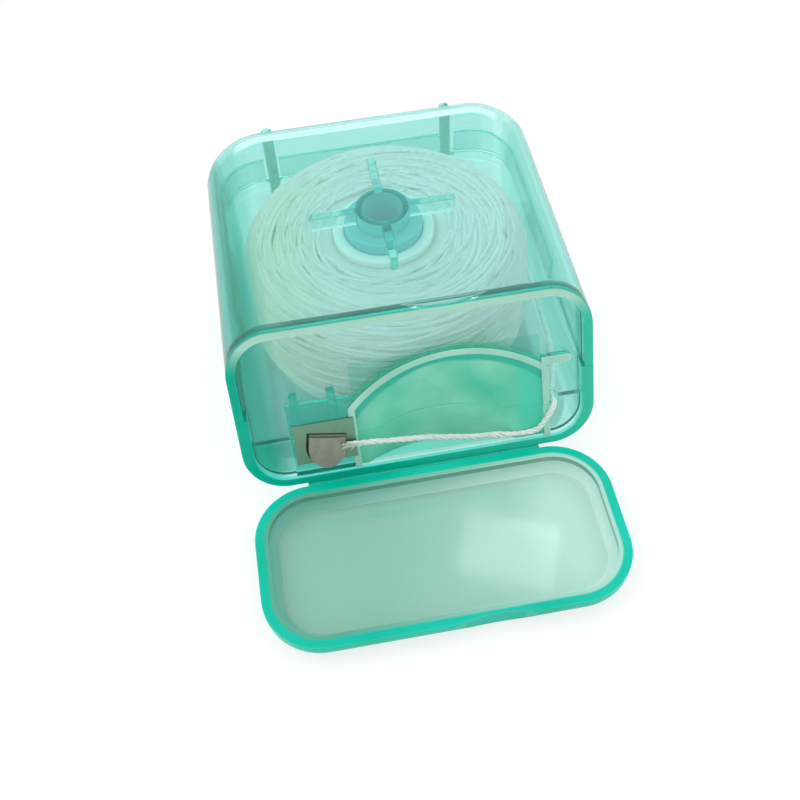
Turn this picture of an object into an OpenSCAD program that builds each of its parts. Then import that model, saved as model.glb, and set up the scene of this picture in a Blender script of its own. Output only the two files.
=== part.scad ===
// Dental floss dispenser: a two-part case with a flip lid, a steel cutter and a wound bobbin.
// Millimetres. The case rests on z = 0, the mouth faces -Y and the lid lies open in front of it.
// Inside the modules y = 0 is the mouth's lower edge; the origin is the middle of the case's base.

/* [Case] */
// Width of the case and of the lid
case_w = 49.5; // [48.5:0.5:60]
// Depth of the case, from the hinge line to the back wall
case_d = 52.5; // [52.5:0.5:62]
// Height of the case
case_h = 25.9; // [25.6:0.1:32]
// Height of the hinge line over the surface that the case rests on
hinge_z = 3; // [3:0.1:3.4]
// Angle by which the mouth leans back from upright
mouth_lean = 20.7; // [18:0.1:21]
// Radius of the long top and bottom edges
edge_r = 6; // [5:0.1:6.5]
// Radius of the back corners in plan
plan_r = 9; // [8:0.1:11]
// Radius of the mouth's lower corners
mouth_r = 6; // [5.5:0.1:8]
// Wall of the upper shell
upper_wall = 1.2; // [1:0.05:1.3]
// Wall of the lower shell
lower_wall = 1.6; // [1.5:0.05:1.8]
// Wall under the mouth
sill_wall = 1; // [0.8:0.05:1.2]
// Height of the parting line of the two shells
parting_z = 13.9; // [13:0.1:15]
// Gap at the parting line
parting_gap = 0.06; // [0.04:0.01:0.15]
// Height of the lip that the upper shell slides over
lip_h = 4.2; // [3:0.1:5]
// Thickness of the lip
lip_t = 0.6; // [0.5:0.05:0.7]
// Clearance between nested walls
nest_gap = 0.1; // [0.05:0.01:0.15]
// Radius of the two ribs on the back wall
back_rib_r = 0.8; // [0.6:0.05:1]

/* [Front wall] */
// Depth of the panel behind the mouth
panel_depth = 1.4; // [1.2:0.05:1.5]
// Thickness of the front wall
panel_t = 0.9; // [0.8:0.05:1]
// Height of the joint between the two halves of the front wall
joint_z = 8.6; // [8.2:0.1:10]
// Left end of the finger recess, from the middle
recess_left = 8.6; // [7:0.1:8.8]
// Right end of the finger recess, from the middle
recess_right = 17.6; // [16:0.1:17.8]
// Radius of the curved wall and of the arch of the finger recess
recess_r = 19; // [18.5:0.1:20]
// Distance from the hinge line to the back of the recess, at its foot
recess_back = 4.6; // [4:0.05:4.7]
// Depth of the recess where its curved wall ends
recess_depth = 1.1; // [0.9:0.05:1.2]
// Height of the arch over the hinge line, along the mouth
arch_h = 16.4; // [15.6:0.1:17]
// Lip that frames the recess, behind the mouth
frame_depth = 0.4; // [0.3:0.05:0.5]
// Radius of the hole that the floss comes out of
outlet_r = 0.9; // [0.8:0.05:1]

/* [Lid] */
// Depth of the lid, with its floor
lid_h = 3.37; // [3.37:0.01:3.4]
// Width of the lid's rim
lid_rim = 1.8; // [1.5:0.1:2.2]
// Thickness of the lid's floor
lid_floor = 1; // [0.8:0.05:1.2]
// Radius of the lid's corners
lid_r = 8; // [6:0.1:9]
// Depth of the thumb notch in the lid's free edge
notch_depth = 0.6; // [0.4:0.05:0.8]
// Radius of the hinge's bead
bead_r = 0.3; // [0.28:0.01:0.32]
// Length of the hinge
hinge_len = 33; // [28:0.5:34]

/* [Cutter] */
// Width of the cutter plate
cutter_w = 8.5; // [7.5:0.1:8.6]
// Height of the cutter plate
cutter_h = 6.4; // [6:0.1:7]
// Thickness of the cutter plate
cutter_t = 0.35; // [0.25:0.01:0.36]
// Width of the tongue
tongue_w = 4.9; // [4:0.1:5]
// Length of the tongue
tongue_len = 4.2; // [3.6:0.1:4.4]
// Angle by which the tongue stands out
tongue_bend = 19; // [14:0.5:22]
// Angle by which the tongue is turned in the plate
tongue_turn = 10; // [0:1:12]

/* [Bobbin] */
// Clearance between the winding and the front wall
front_gap = 0.8; // [0.8:0.05:2.5]
// Diameter of the floss
floss_d = 0.85; // [0.6:0.05:0.86]
// Turns in the outer layer
turns = 18; // [12:1:18]
// Height of the top of the winding
winding_top = 20.8; // [18:0.1:21]
// Outer diameter of the core
core_d = 14.7; // [14:0.1:16]
// Outer diameter of the spindle
spindle_d = 11.3; // [10:0.1:11.5]
// Radial clearance between the spindle and the core
spindle_fit = 0.06; // [0.03:0.01:0.1]
// Radius of the winding's shoulders
shoulder_r = 4.5; // [3:0.1:5]
// Clearance above the floor and before the lip
bobbin_gap = 0.3; // [0.25:0.05:0.4]

/* [Hub] */
// Outer diameter of the ring under the roof
ring_d = 7.5; // [6.5:0.1:7.6]
// Wall of the ring
ring_wall = 0.8; // [0.6:0.05:1]
// Reach of the arms from the middle of the hub
arm_reach = 10.4; // [8:0.1:12]
// Thickness of the arms
arm_t = 1.1; // [0.8:0.05:1.4]
// Height of the arms
arm_h = 2.2; // [1.8:0.05:2.4]

/* [Hidden] */
$fn = 96;
far = 80;
eps = 0.01;
bond = 0.4;

// Mouth: its length from the hinge line to the roof
mouth_len = (case_h - hinge_z) / cos(mouth_lean);

// Hinge: its axis lies in front of the mouth's lower edge, level with it
hinge_gap = 0.05;
axis_y = -(bead_r + hinge_gap) - 0.1;
lid_edge_y = axis_y - bead_r - hinge_gap;
lid_len = mouth_len + 0.1;
lid_edge_r = 2.4;
lid_base_z = hinge_z + 0.37 - lid_h;

// Bobbin: the winding fills the room between the front wall and the lip at the back
lip_in = upper_wall + nest_gap + lip_t;
wall_reach = (winding_top - shoulder_r - hinge_z) * tan(mouth_lean)
    + (panel_depth + panel_t) / cos(mouth_lean);
depth_room = case_d - lip_in - bobbin_gap - wall_reach - front_gap;
width_room = case_w - 2 * (lip_in + bobbin_gap + floss_d);
winding_d = min(depth_room, width_room);
bobbin_y = case_d - lip_in - bobbin_gap - winding_d / 2;
floor_z = lower_wall;
bobbin_z = floor_z + bobbin_gap;
core_top = winding_top + 0.1;
core_in_r = spindle_d / 2 + spindle_fit;
package_gap = 0.05;
turn_gap = 0.25;
package_r = winding_d / 2 - floss_d - turn_gap;
package_top = winding_top - floss_d - turn_gap;
package_z = bobbin_z + 0.3;
foot_r = 3;
roof_z = case_h - upper_wall;
arm_z = roof_z - arm_h;
spindle_top = arm_z - nest_gap;
spindle_bore_r = ring_d / 2 + nest_gap;
ring_foot_z = spindle_top - 3.5;

// Front wall, in the mouth's own frame
recess_x = 3;
recess_lean = 9;
recess_foot_z = hinge_z + 1.2;
arch_x = 5.3;
seat_w = cutter_w + 0.7;
seat_x = -(recess_left + 0.05 + seat_w / 2);
seat_top = 11.9;
seat_depth = cutter_t + 0.27;
plate_foot = 3;
plate_gap = 0.05;
plate_depth = 0.25;
tongue_root = 7.4;
tongue_x = seat_x + 0.5;
fin_t = 1.1;
fin_top = 14.1;
fin_x = [seat_x - 3.35, seat_x + 1.75];
outlet_x = 19.3;
outlet_h = 6.5;
shelf_right = 21.8;
shelf_h = 13.9;
back_rib_x = [-14.6, 13.4];

// Floss strand: from the winding's right side, out at the outlet and across to the cutter
strand_route = [
    [21.8, 28.7, 7.6], [21.8, 26, 7.6], [21.8, 21, 7.6], [21.6, 16, 7.6], [21, 11, 7.6],
    [20.2, 7.5, 7.7], [19.6, 5.9, 7.8], [19.3, 4.7, 8.2], [19.3, 3.2, 8.7], [19.2, 2.5, 9],
    [18.9, 2, 8.8], [18.3, 1.6, 7.8], [17.6, 1.3, 6.7], [17, 1.1, 5.7], [16.3, 1.1, 4.9],
    [15, 1.2, 4.6], [12.5, 1.2, 4.7], [10, 1.3, 5.1], [7, 1.4, 5.7], [4, 1.5, 6.3],
    [0.7, 1.6, 7], [-3, 1.6, 7.5], [-6, 1.6, 7.9], [-8.5, 1.6, 8.2], [-10.3, 1.6, 8.4]];

function unit(v) = v / norm(v);

// Rounded outline in a plane, with its own radius above and below
module section(w, h, top_r, foot_r) {
    translate([-w / 2, foot_r]) square([w, h - foot_r - top_r]);
    translate([-w / 2 + top_r, foot_r]) square([w - 2 * top_r, h - foot_r]);
    translate([-w / 2 + foot_r, 0]) square([w - 2 * foot_r, h - top_r]);
    for (side = [-1, 1]) {
        translate([side * (w / 2 - top_r), h - top_r]) circle(r = top_r);
        translate([side * (w / 2 - foot_r), foot_r]) circle(r = foot_r);
    }
}

// Box with rounded edges and corners, standing on z = 0 and centred in plan
module soft_box(w, d, h, corner_r, top_r, foot_r) {
    translate([0, d / 2 - corner_r, 0]) rotate([90, 0, 0])
        linear_extrude(d - 2 * corner_r) section(w, h, top_r, foot_r);
    translate([-(w / 2 - corner_r), 0, 0]) rotate([90, 0, 90])
        linear_extrude(w - 2 * corner_r) section(d, h, top_r, foot_r);
    for (x = [-1, 1], y = [-1, 1])
        translate([x * (w / 2 - corner_r), y * (d / 2 - corner_r), 0])
            rotate_extrude()
                intersection() {
                    section(2 * corner_r, h, top_r, foot_r);
                    square([corner_r + 1, h + 1]);
                }
}

// Part's frame: its origin is the middle of the case's base
module in_place() { translate([0, -case_d / 2, 0]) children(); }

// Frame of the mouth: x across, y up along the mouth, z out of it
module at_mouth() {
    translate([0, 0, hinge_z]) rotate([90 - mouth_lean, 0, 0]) children();
}

// Slab of the mouth's frame between two depths behind the mouth
module depth_slab(from, to) {
    at_mouth() translate([-far / 2, -far / 2, -to]) cube([far, far, to - from]);
}

// The case as a solid, drawn in by a wall, and open at the mouth when reach is over 0
module case_solid(inset, sill, reach = 0) {
    length = case_d + far / 2;
    intersection() {
        translate([0, case_d - inset - (length - inset) / 2, inset])
            soft_box(case_w - 2 * inset, length - inset, case_h - 2 * inset,
                     plan_r - inset, edge_r - inset, edge_r - inset);
        at_mouth() translate([0, sill, -far]) linear_extrude(far + reach)
            section(case_w - 2 * inset, far / 2, edge_r, mouth_r - inset);
    }
}

module above(z) { translate([-far / 2, -far / 2, z]) cube([far, 2 * far, far]); }
module below(z) { translate([-far / 2, -far / 2, z - far]) cube([far, 2 * far, far]); }

// Outline of the finger recess, in the mouth's frame
module arch_outline(grow) {
    intersection() {
        translate([arch_x, arch_h - recess_r]) circle(r = recess_r + grow);
        translate([-recess_left - grow, -5])
            square([recess_left + recess_right + 2 * grow, far / 2]);
    }
}

module arch_block(grow, from, to) {
    at_mouth() translate([0, 0, -to]) linear_extrude(to - from) arch_outline(grow);
}

module recess_drum(grow) {
    translate([recess_x, recess_back - recess_r, recess_foot_z]) rotate([-recess_lean, 0, 0])
        cylinder(r = recess_r + grow, h = far, center = true);
}

module recess_cut() {
    arch_block(0, -2, recess_depth);
    intersection() {
        arch_block(0, -2, 9);
        recess_drum(0);
    }
}

module cutter_seat() {
    at_mouth() translate([seat_x - seat_w / 2, sill_wall / 2, -panel_depth - panel_t / 2])
        cube([seat_w, seat_top, panel_depth + panel_t / 2 - seat_depth]);
}

// Room for the cutter plate, clear of the rim beside it
module plate_pocket() {
    at_mouth() translate([seat_x - cutter_w / 2 - plate_gap, plate_foot - plate_gap, -seat_depth])
        cube([cutter_w + 2 * plate_gap, cutter_h + 2 * plate_gap, seat_depth + 1]);
}

module fins() {
    at_mouth() for (x = fin_x)
        translate([x - fin_t / 2, plate_foot + cutter_h + plate_gap, -panel_depth - panel_t / 2])
            cube([fin_t, fin_top - plate_foot - cutter_h - plate_gap, panel_depth + panel_t / 2 - frame_depth]);
}

// Rounded shelf over the floss outlet, to the right of the recess
module outlet_shelf() {
    at_mouth() translate([0, 0, -panel_depth - panel_t / 2])
        linear_extrude(panel_depth + panel_t / 2 - frame_depth) {
            translate([recess_right, shelf_h - 1.3]) square([shelf_right - recess_right - 0.65, 1.3]);
            translate([shelf_right - 0.65, shelf_h - 0.65]) circle(r = 0.65);
        }
}

module front_wall() {
    difference() {
        union() {
            depth_slab(panel_depth, panel_depth + panel_t);
            arch_block(panel_t, frame_depth, panel_depth + panel_t / 2);
            intersection() {
                arch_block(panel_t, frame_depth, 12);
                recess_drum(panel_t);
            }
            cutter_seat();
            fins();
            outlet_shelf();
        }
        recess_cut();
        plate_pocket();
        at_mouth() translate([outlet_x, outlet_h, -5]) cylinder(r = outlet_r, h = 10);
    }
}

module lower_shell() {
    color([0.05, 0.72, 0.62, 0.75]) in_place() {
        difference() {
            intersection() {
                case_solid(0, 0);
                below(parting_z);
            }
            case_solid(lower_wall, sill_wall, 5);
        }
        intersection() {
            front_wall();
            case_solid(lower_wall - bond, sill_wall - bond);
            below(joint_z);
        }
        lip();
        spindle();
        back_ribs(edge_r, parting_z);
    }
}

// Lip inside the parting line, cut away at the front wall and at the two back ribs
module lip() {
    lip_out = upper_wall + nest_gap;
    difference() {
        intersection() {
            case_solid(lip_out, sill_wall);
            translate([-far / 2, case_d / 2 - 6, parting_z - 1.5]) cube([far, far, 1.5 + lip_h]);
        }
        case_solid(lip_in, sill_wall, 5);
        for (x = back_rib_x)
            translate([x - 1.2, case_d - 6, parting_z]) cube([2.4, far, far]);
    }
}

module spindle() {
    translate([0, bobbin_y, floor_z - bond])
        difference() {
            cylinder(d = spindle_d, h = spindle_top - floor_z + bond);
            translate([0, 0, bond]) cylinder(r = spindle_bore_r, h = far);
        }
}

module back_ribs(from, to) {
    for (x = back_rib_x)
        translate([x, case_d, from]) cylinder(r = back_rib_r, h = to - from, $fn = 32);
}

module upper_shell() {
    color([0.1, 0.78, 0.68, 0.6]) in_place() {
        difference() {
            intersection() {
                case_solid(0, 0);
                above(parting_z + parting_gap);
            }
            case_solid(upper_wall, sill_wall, 5);
            rim_dip();
        }
        difference() {
            intersection() {
                front_wall();
                above(joint_z + parting_gap);
                upper_front_clip();
            }
            rim_dip();
        }
        hub();
        intersection() {
            back_ribs(parting_z + parting_gap, case_h - edge_r / 2);
            translate([-far / 2, case_d - upper_wall / 2, 0]) cube([far, far, far]);
        }
    }
}

// The front wall bonds to the upper shell's walls and stands clear of the lower shell's
module upper_front_clip() {
    intersection() {
        case_solid(upper_wall - bond, sill_wall);
        above(parting_z + parting_gap);
    }
    intersection() {
        case_solid(lower_wall + nest_gap, sill_wall + nest_gap);
        below(parting_z + 2 * parting_gap);
    }
}

// Shallow thumb dip in the rim of the mouth's upper edge
module rim_dip() {
    at_mouth() translate([5, mouth_len + 25 - notch_depth / 2, -1])
        cylinder(r = 25, h = 4);
}

module hub() {
    translate([0, bobbin_y, 0]) {
        difference() {
            translate([0, 0, ring_foot_z]) cylinder(d = ring_d, h = roof_z + bond - ring_foot_z);
            translate([0, 0, ring_foot_z - 1])
                cylinder(d = ring_d - 2 * ring_wall, h = roof_z + 1 - ring_foot_z);
        }
        for (turn = [0 : 90 : 270])
            rotate(turn) translate([ring_d / 2 - ring_wall / 2, -arm_t / 2, arm_z])
                cube([arm_reach - ring_d / 2 + ring_wall / 2, arm_t, arm_h + bond]);
    }
}

// Web from the mouth's lower edge to the bead that the lid turns about
module living_hinge() {
    color([0.2, 0.8, 0.7]) in_place()
        translate([-hinge_len / 2, 0, 0]) {
            translate([0, axis_y, hinge_z - 0.12]) cube([hinge_len, -axis_y - 0.02, 0.24]);
            translate([0, axis_y, hinge_z]) rotate([0, 90, 0]) cylinder(r = bead_r, h = hinge_len, $fn = 48);
        }
}

module flip_lid() {
    color([0.15, 0.78, 0.68, 0.7]) in_place()
        translate([0, lid_edge_y - lid_len / 2, lid_base_z])
            difference() {
                soft_box(case_w, lid_len, lid_h + lid_edge_r, lid_r, lid_edge_r, lid_edge_r);
                translate([0, 0, lid_floor])
                    soft_box(case_w - 2 * lid_rim, lid_len - 2 * lid_rim, lid_h + lid_edge_r,
                             lid_r - lid_rim, lid_edge_r - 1, lid_edge_r - 1);
                translate([-far / 2, -far / 2, lid_h]) cube([far, far, far]);
                translate([5, -lid_len / 2 - 25 + notch_depth, -1]) cylinder(r = 25, h = lid_h + 2);
            }
}

module tongue_outline(grow) {
    straight = tongue_len - tongue_w / 2;
    translate([-tongue_w / 2 - grow, -straight]) square([tongue_w + 2 * grow, straight]);
    intersection() {
        translate([0, -straight]) circle(r = tongue_w / 2 + grow);
        translate([-tongue_w, -tongue_len - grow]) square([2 * tongue_w, tongue_len + grow]);
    }
}

module cutter_plate() {
    color([0.62, 0.64, 0.6]) in_place()
        at_mouth() {
            translate([0, 0, -plate_depth - cutter_t])
                linear_extrude(cutter_t) difference() {
                    translate([seat_x - cutter_w / 2, plate_foot]) square([cutter_w, cutter_h]);
                    intersection() {
                        translate([tongue_x, tongue_root]) rotate(-tongue_turn) tongue_outline(0.2);
                        translate([seat_x - cutter_w / 2, plate_foot + 0.4]) square([cutter_w, cutter_h]);
                    }
                }
            translate([tongue_x, tongue_root + 0.1, -plate_depth - cutter_t])
                rotate(-tongue_turn) rotate([-tongue_bend, 0, 0])
                    linear_extrude(cutter_t) tongue_outline(0);
        }
}

module bobbin_core() {
    color([0.93, 0.95, 0.93]) in_place()
        translate([0, bobbin_y, bobbin_z])
            difference() {
                cylinder(d = core_d, h = core_top - bobbin_z);
                translate([0, 0, -1]) cylinder(r = core_in_r, h = far);
            }
}

module floss_package() {
    color([0.94, 0.97, 0.93]) in_place()
        translate([0, bobbin_y, package_z])
            rotate_extrude()
                intersection() {
                    section(2 * package_r, package_top - package_z, shoulder_r, foot_r);
                    translate([core_d / 2 + package_gap, 0]) square([far, far]);
                }
}

// Outer layer: one tube that climbs the side, rounds the shoulder and runs in over the top
wind_gap = turn_gap + floss_d / 2;
wind_r = package_r + wind_gap;
wind_foot = package_z + foot_r + 0.6;
bend_r = shoulder_r + wind_gap;
wind_side = package_top - shoulder_r - wind_foot;
wind_bend = bend_r * PI / 2;
wind_in_r = core_d / 2 + 1;
wind_top_run = wind_r - bend_r - wind_in_r;
wind_path = wind_side + wind_bend + wind_top_run;
wind_rings = 24 * turns;

function wind_profile(s) =
    s < wind_side ? [wind_r, wind_foot + s]
    : s < wind_side + wind_bend ? let (a = (s - wind_side) / bend_r * 180 / PI)
        [wind_r - bend_r * (1 - cos(a)), wind_foot + wind_side + bend_r * sin(a)]
    : [wind_r - bend_r - (s - wind_side - wind_bend), wind_foot + wind_side + bend_r];
function wind_point(i) =
    let (p = wind_profile(wind_path * i / wind_rings), a = 360 * turns * i / wind_rings)
    [p[0] * cos(a), bobbin_y + p[0] * sin(a), p[1]];
wind_route = [for (i = [0 : wind_rings]) wind_point(i)];

// One closed tube swept along a route, with its ends flat and its faces triangles
function route_dir(p, i) = unit(p[min(i + 1, len(p) - 1)] - p[max(i - 1, 0)]);
function ring_side(d) = unit(cross(d, abs(d[2]) > 0.9 ? [1, 0, 0] : [0, 0, 1]));
function tube_points(p, r, n) = [
    for (i = [0 : len(p) - 1]) let (d = route_dir(p, i), u = ring_side(d), v = cross(d, u))
        for (k = [0 : n - 1]) p[i] + r * (cos(360 * k / n) * u + sin(360 * k / n) * v)];
function tube_faces(rings, n) = concat(
    [for (i = [0 : rings - 2], k = [0 : n - 1]) let (a = i * n + k, b = i * n + (k + 1) % n)
        each [[a, b, b + n], [a, b + n, a + n]]],
    [for (k = [1 : n - 2]) [0, k + 1, k]],
    [for (k = [1 : n - 2]) let (e = (rings - 1) * n) [e, e + k, e + k + 1]]);

module tube(route, d, n) {
    polyhedron(tube_points(route, d / 2, n), tube_faces(len(route), n), convexity = 10);
}

// Least gap of the winding to itself, between points that lie half a turn or more apart
wind_least = min([for (i = [0 : 6 : wind_rings - 13], j = [i + 12 : wind_rings])
    norm(wind_route[i] - wind_route[j])]) - floss_d;
echo(str("winding: least gap to itself ", wind_least, " mm"));

module floss_winding() {
    color([0.97, 0.98, 0.96]) in_place() tube(wind_route, floss_d, 6);
}

module floss_strand() {
    color([0.97, 0.98, 0.96]) in_place() tube(strand_route, floss_d, 8);
}

lower_shell();
upper_shell();
living_hinge();
flip_lid();
cutter_plate();
bobbin_core();
floss_package();
floss_winding();
floss_strand();
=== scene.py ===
"""Looks of a translucent dental floss dispenser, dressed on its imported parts.

The case and the lid are clear tinted plastic whose colour comes from the
thickness that light goes through. Inside turns a bobbin wound with floss, and
one strand comes out at the mouth and runs under a steel cutter's tongue.
"""

from __future__ import annotations

import logging
import math
import random
from collections.abc import Callable, Mapping, Sequence
from dataclasses import dataclass
from enum import Enum
from typing import Any, ClassVar

import bmesh
import bpy
from mathutils import Matrix, Vector

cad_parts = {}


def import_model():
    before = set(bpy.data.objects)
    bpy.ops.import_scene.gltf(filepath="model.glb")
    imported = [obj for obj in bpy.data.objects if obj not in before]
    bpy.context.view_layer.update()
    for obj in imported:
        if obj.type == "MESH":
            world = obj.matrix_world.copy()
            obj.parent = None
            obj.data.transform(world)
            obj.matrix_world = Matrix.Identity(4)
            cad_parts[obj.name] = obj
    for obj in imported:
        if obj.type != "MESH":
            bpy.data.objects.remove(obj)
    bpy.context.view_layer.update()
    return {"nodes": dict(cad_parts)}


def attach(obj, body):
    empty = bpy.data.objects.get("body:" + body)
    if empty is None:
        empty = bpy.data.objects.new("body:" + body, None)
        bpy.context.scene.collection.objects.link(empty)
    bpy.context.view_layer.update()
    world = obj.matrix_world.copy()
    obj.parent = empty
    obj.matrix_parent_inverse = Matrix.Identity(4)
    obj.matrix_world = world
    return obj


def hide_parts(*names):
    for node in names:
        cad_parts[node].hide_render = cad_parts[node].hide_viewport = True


LOG = logging.getLogger("floss_dispenser")
MM = 0.001
BOBBIN_AXIS_Y = 3.0422 * MM

Colour = tuple[float, float, float]
Point = tuple[float, float, float]
Range = tuple[float, float]

WHITE: Colour = (1.0, 1.0, 1.0)
NOISE_SPAN: Range = (0.3, 0.7)  # where most of a noise's values lie


class Body(str, Enum):
    """Rigid bodies that the pieces ride on."""

    CASE = "case"
    LID = "lid"
    BOBBIN = "bobbin"


class Slot(str, Enum):
    """Names of material slots."""

    SHELL = "tinted_shell"
    LID = "tinted_lid"
    STEEL = "steel"
    CORE = "core"
    FLOSS = "floss"


@dataclass(frozen=True)
class MouthFrame:
    """Leaning plane of the case's mouth, in metres and radians."""

    hinge_y: float = -26.25 * MM
    hinge_z: float = 3.0 * MM
    lean: float = math.radians(20.7)

    def point(self, across: float, up: float, out: float) -> Vector:
        """Gives a point of the mouth's frame in the row frame.

        Args:
            across: Distance to the right of the middle.
            up: Distance above the mouth's lower edge, along the mouth.
            out: Distance in front of the mouth's plane.

        Returns:
            The point, in metres.
        """
        sine, cosine = math.sin(self.lean), math.cos(self.lean)
        return Vector(
            (
                across,
                self.hinge_y + up * sine - out * cosine,
                self.hinge_z + up * cosine + out * sine,
            )
        )

    def step(self, across: float, up: float, out: float) -> Vector:
        """Gives a step along the mouth's frame as a vector of the row frame."""
        return self.point(across, up, out) - self.point(0.0, 0.0, 0.0)

    def depth(self, place: Vector) -> float:
        """Gives how far a place lies behind the mouth's plane."""
        return (place - self.point(0.0, 0.0, 0.0)).dot(self.step(0.0, 0.0, -1.0))

    def height(self, place: Vector) -> float:
        """Gives how far up along the mouth a place lies."""
        return (place - self.point(0.0, 0.0, 0.0)).dot(self.step(0.0, 1.0, 0.0))


MOUTH = MouthFrame()


class Graph:
    """Adds and links the nodes of one node tree."""

    def __init__(self, tree: bpy.types.NodeTree) -> None:
        """Starts on a tree, which is emptied."""
        self.tree = tree
        tree.nodes.clear()

    def add(
        self,
        kind: str,
        values: Mapping[str | int, Any] | None = None,
        **settings: Any,
    ) -> bpy.types.Node:
        """Adds a node.

        Args:
            kind: Blender's name of the node type.
            values: Socket name or number to a value, or to the socket that feeds it.
            **settings: Properties of the node itself.

        Returns:
            The new node.
        """
        node = self.tree.nodes.new(kind)
        for name, setting in settings.items():
            setattr(node, name, setting)
        for key, value in (values or {}).items():
            self.feed(node.inputs[key], value)
        return node

    def feed(self, socket: bpy.types.NodeSocket, value: Any) -> None:
        """Sets a socket's value, or links another socket to it.

        Args:
            socket: The socket that is fed.
            value: The value, or the socket that the link comes from.
        """
        if isinstance(value, bpy.types.NodeSocket):
            self.tree.links.new(value, socket)
        else:
            socket.default_value = value

    def math(self, operation: str, *terms: Any) -> bpy.types.NodeSocket:
        """Adds a Math node.

        Args:
            operation: Blender's name of the operation.
            *terms: Its values, or the sockets that feed them.

        Returns:
            The result's socket.
        """
        node = self.tree.nodes.new("ShaderNodeMath")
        node.operation = operation
        for socket, term in zip(node.inputs, terms):
            self.feed(socket, term)
        return node.outputs[0]

    def length(self, first: Any, second: Any) -> bpy.types.NodeSocket:
        """Measures the slope of two sides that meet at a right angle.

        Args:
            first: One side's socket.
            second: The other side's socket.

        Returns:
            The socket of the distance between their ends.
        """
        squares = [self.math("MULTIPLY", side, side) for side in (first, second)]
        return self.math("SQRT", self.math("ADD", *squares))

    def between(
        self,
        value: Any,
        low: float,
        high: float,
        start: float = 0.0,
        end: float = 1.0,
    ) -> bpy.types.NodeSocket:
        """Maps a value from one range to another, and clamps it.

        Args:
            value: The value, or its socket.
            low: Start of the range that the value comes from.
            high: End of that range.
            start: The result at its start.
            end: The result at its end.

        Returns:
            The result's socket.
        """
        node = self.add(
            "ShaderNodeMapRange",
            {
                "Value": value,
                "From Min": low,
                "From Max": high,
                "To Min": start,
                "To Max": end,
            },
        )
        return node.outputs[0]

    def blend(self, factor: Any, first: Any, second: Any) -> bpy.types.NodeSocket:
        """Mixes two colours.

        Args:
            factor: The second colour's share.
            first: The colour at 0, or its socket.
            second: The colour at 1, or its socket.

        Returns:
            The mixed colour's socket.
        """
        node = self.add("ShaderNodeMix", data_type="RGBA")
        for number, value in ((0, factor), (6, first), (7, second)):
            colour = rgba(value) if isinstance(value, tuple) else value
            self.feed(node.inputs[number], colour)
        return node.outputs[2]

    def mix(self, factor: Any, first: bpy.types.Node, second: bpy.types.Node) -> Any:
        """Mixes two shaders.

        Args:
            factor: The second shader's share.
            first: The shader at 0.
            second: The shader at 1.

        Returns:
            The node that mixes them.
        """
        parts = {0: factor, 1: first.outputs[0], 2: second.outputs[0]}
        return self.add("ShaderNodeMixShader", parts)

    def place(self) -> bpy.types.NodeSocket:
        """Gives the place on the object."""
        return self.add("ShaderNodeTexCoord").outputs["Object"]

    def axes(self, place: bpy.types.NodeSocket) -> Sequence[bpy.types.NodeSocket]:
        """Splits a place into X, Y and Z."""
        return tuple(self.add("ShaderNodeSeparateXYZ", {0: place}).outputs)

    def noise(
        self, place: bpy.types.NodeSocket, scale: Any, detail: float, swirl: float = 0.0
    ) -> bpy.types.NodeSocket:
        """Adds a noise over the surface.

        Args:
            place: The place that it reads.
            scale: Its scale, or the scale's socket.
            detail: Its detail.
            swirl: Its distortion.

        Returns:
            The socket of its value.
        """
        return self.add(
            "ShaderNodeTexNoise",
            {"Vector": place, "Scale": scale, "Detail": detail, "Distortion": swirl},
        ).outputs["Fac"]

    def noise_along(
        self, run: bpy.types.NodeSocket, rate: float, start: float, detail: float
    ) -> bpy.types.NodeSocket:
        """Adds a noise along a line.

        Args:
            run: How far along the line the place is.
            rate: Steps of the noise for each unit of the run.
            start: Where in the noise the line starts.
            detail: The noise's detail.

        Returns:
            The socket of its value.
        """
        return self.add(
            "ShaderNodeTexNoise",
            {
                "W": self.math("MULTIPLY_ADD", run, rate, start),
                "Scale": 1.0,
                "Detail": detail,
            },
            noise_dimensions="1D",
        ).outputs[0]


def rgba(colour: Colour) -> tuple[float, float, float, float]:
    """Adds a full alpha to a colour."""
    return (*colour, 1.0)


def add_socket(
    tree: bpy.types.NodeTree,
    side: str,
    name: str,
    kind: str = "Float",
    start: float | None = None,
) -> bpy.types.NodeTreeInterfaceSocket:
    """Adds a named socket to a node tree.

    Args:
        tree: The tree.
        side: INPUT or OUTPUT.
        name: The socket's name.
        kind: Its type, as Blender's name of the type ends.
        start: Its value where nothing feeds it.

    Returns:
        The socket.
    """
    socket = tree.interface.new_socket(
        name=name, in_out=side, socket_type="NodeSocket" + kind
    )
    if start is not None:
        socket.default_value = start
    return socket


def new_material(name: str) -> tuple[bpy.types.Material, Graph]:
    """Makes an empty node material.

    Args:
        name: The material's name.

    Returns:
        The material and the graph of its nodes.
    """
    material = bpy.data.materials.new(name)
    material.use_nodes = True
    return material, Graph(material.node_tree)


def mouth_place(graph: Graph) -> Sequence[bpy.types.NodeSocket]:
    """Turns a material's place into the mouth's leaning frame.

    Args:
        graph: The material's graph.

    Returns:
        The distance across, the depth behind the mouth and the height along it.
    """
    sine, cosine = math.sin(MOUTH.lean), math.cos(MOUTH.lean)
    turned = graph.add(
        "ShaderNodeMapping",
        {
            "Vector": graph.place(),
            "Rotation": (MOUTH.lean, 0.0, 0.0),
            "Location": (
                0.0,
                MOUTH.hinge_z * sine - MOUTH.hinge_y * cosine,
                -MOUTH.hinge_y * sine - MOUTH.hinge_z * cosine,
            ),
        },
        vector_type="POINT",
    )
    return graph.axes(turned.outputs[0])


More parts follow.
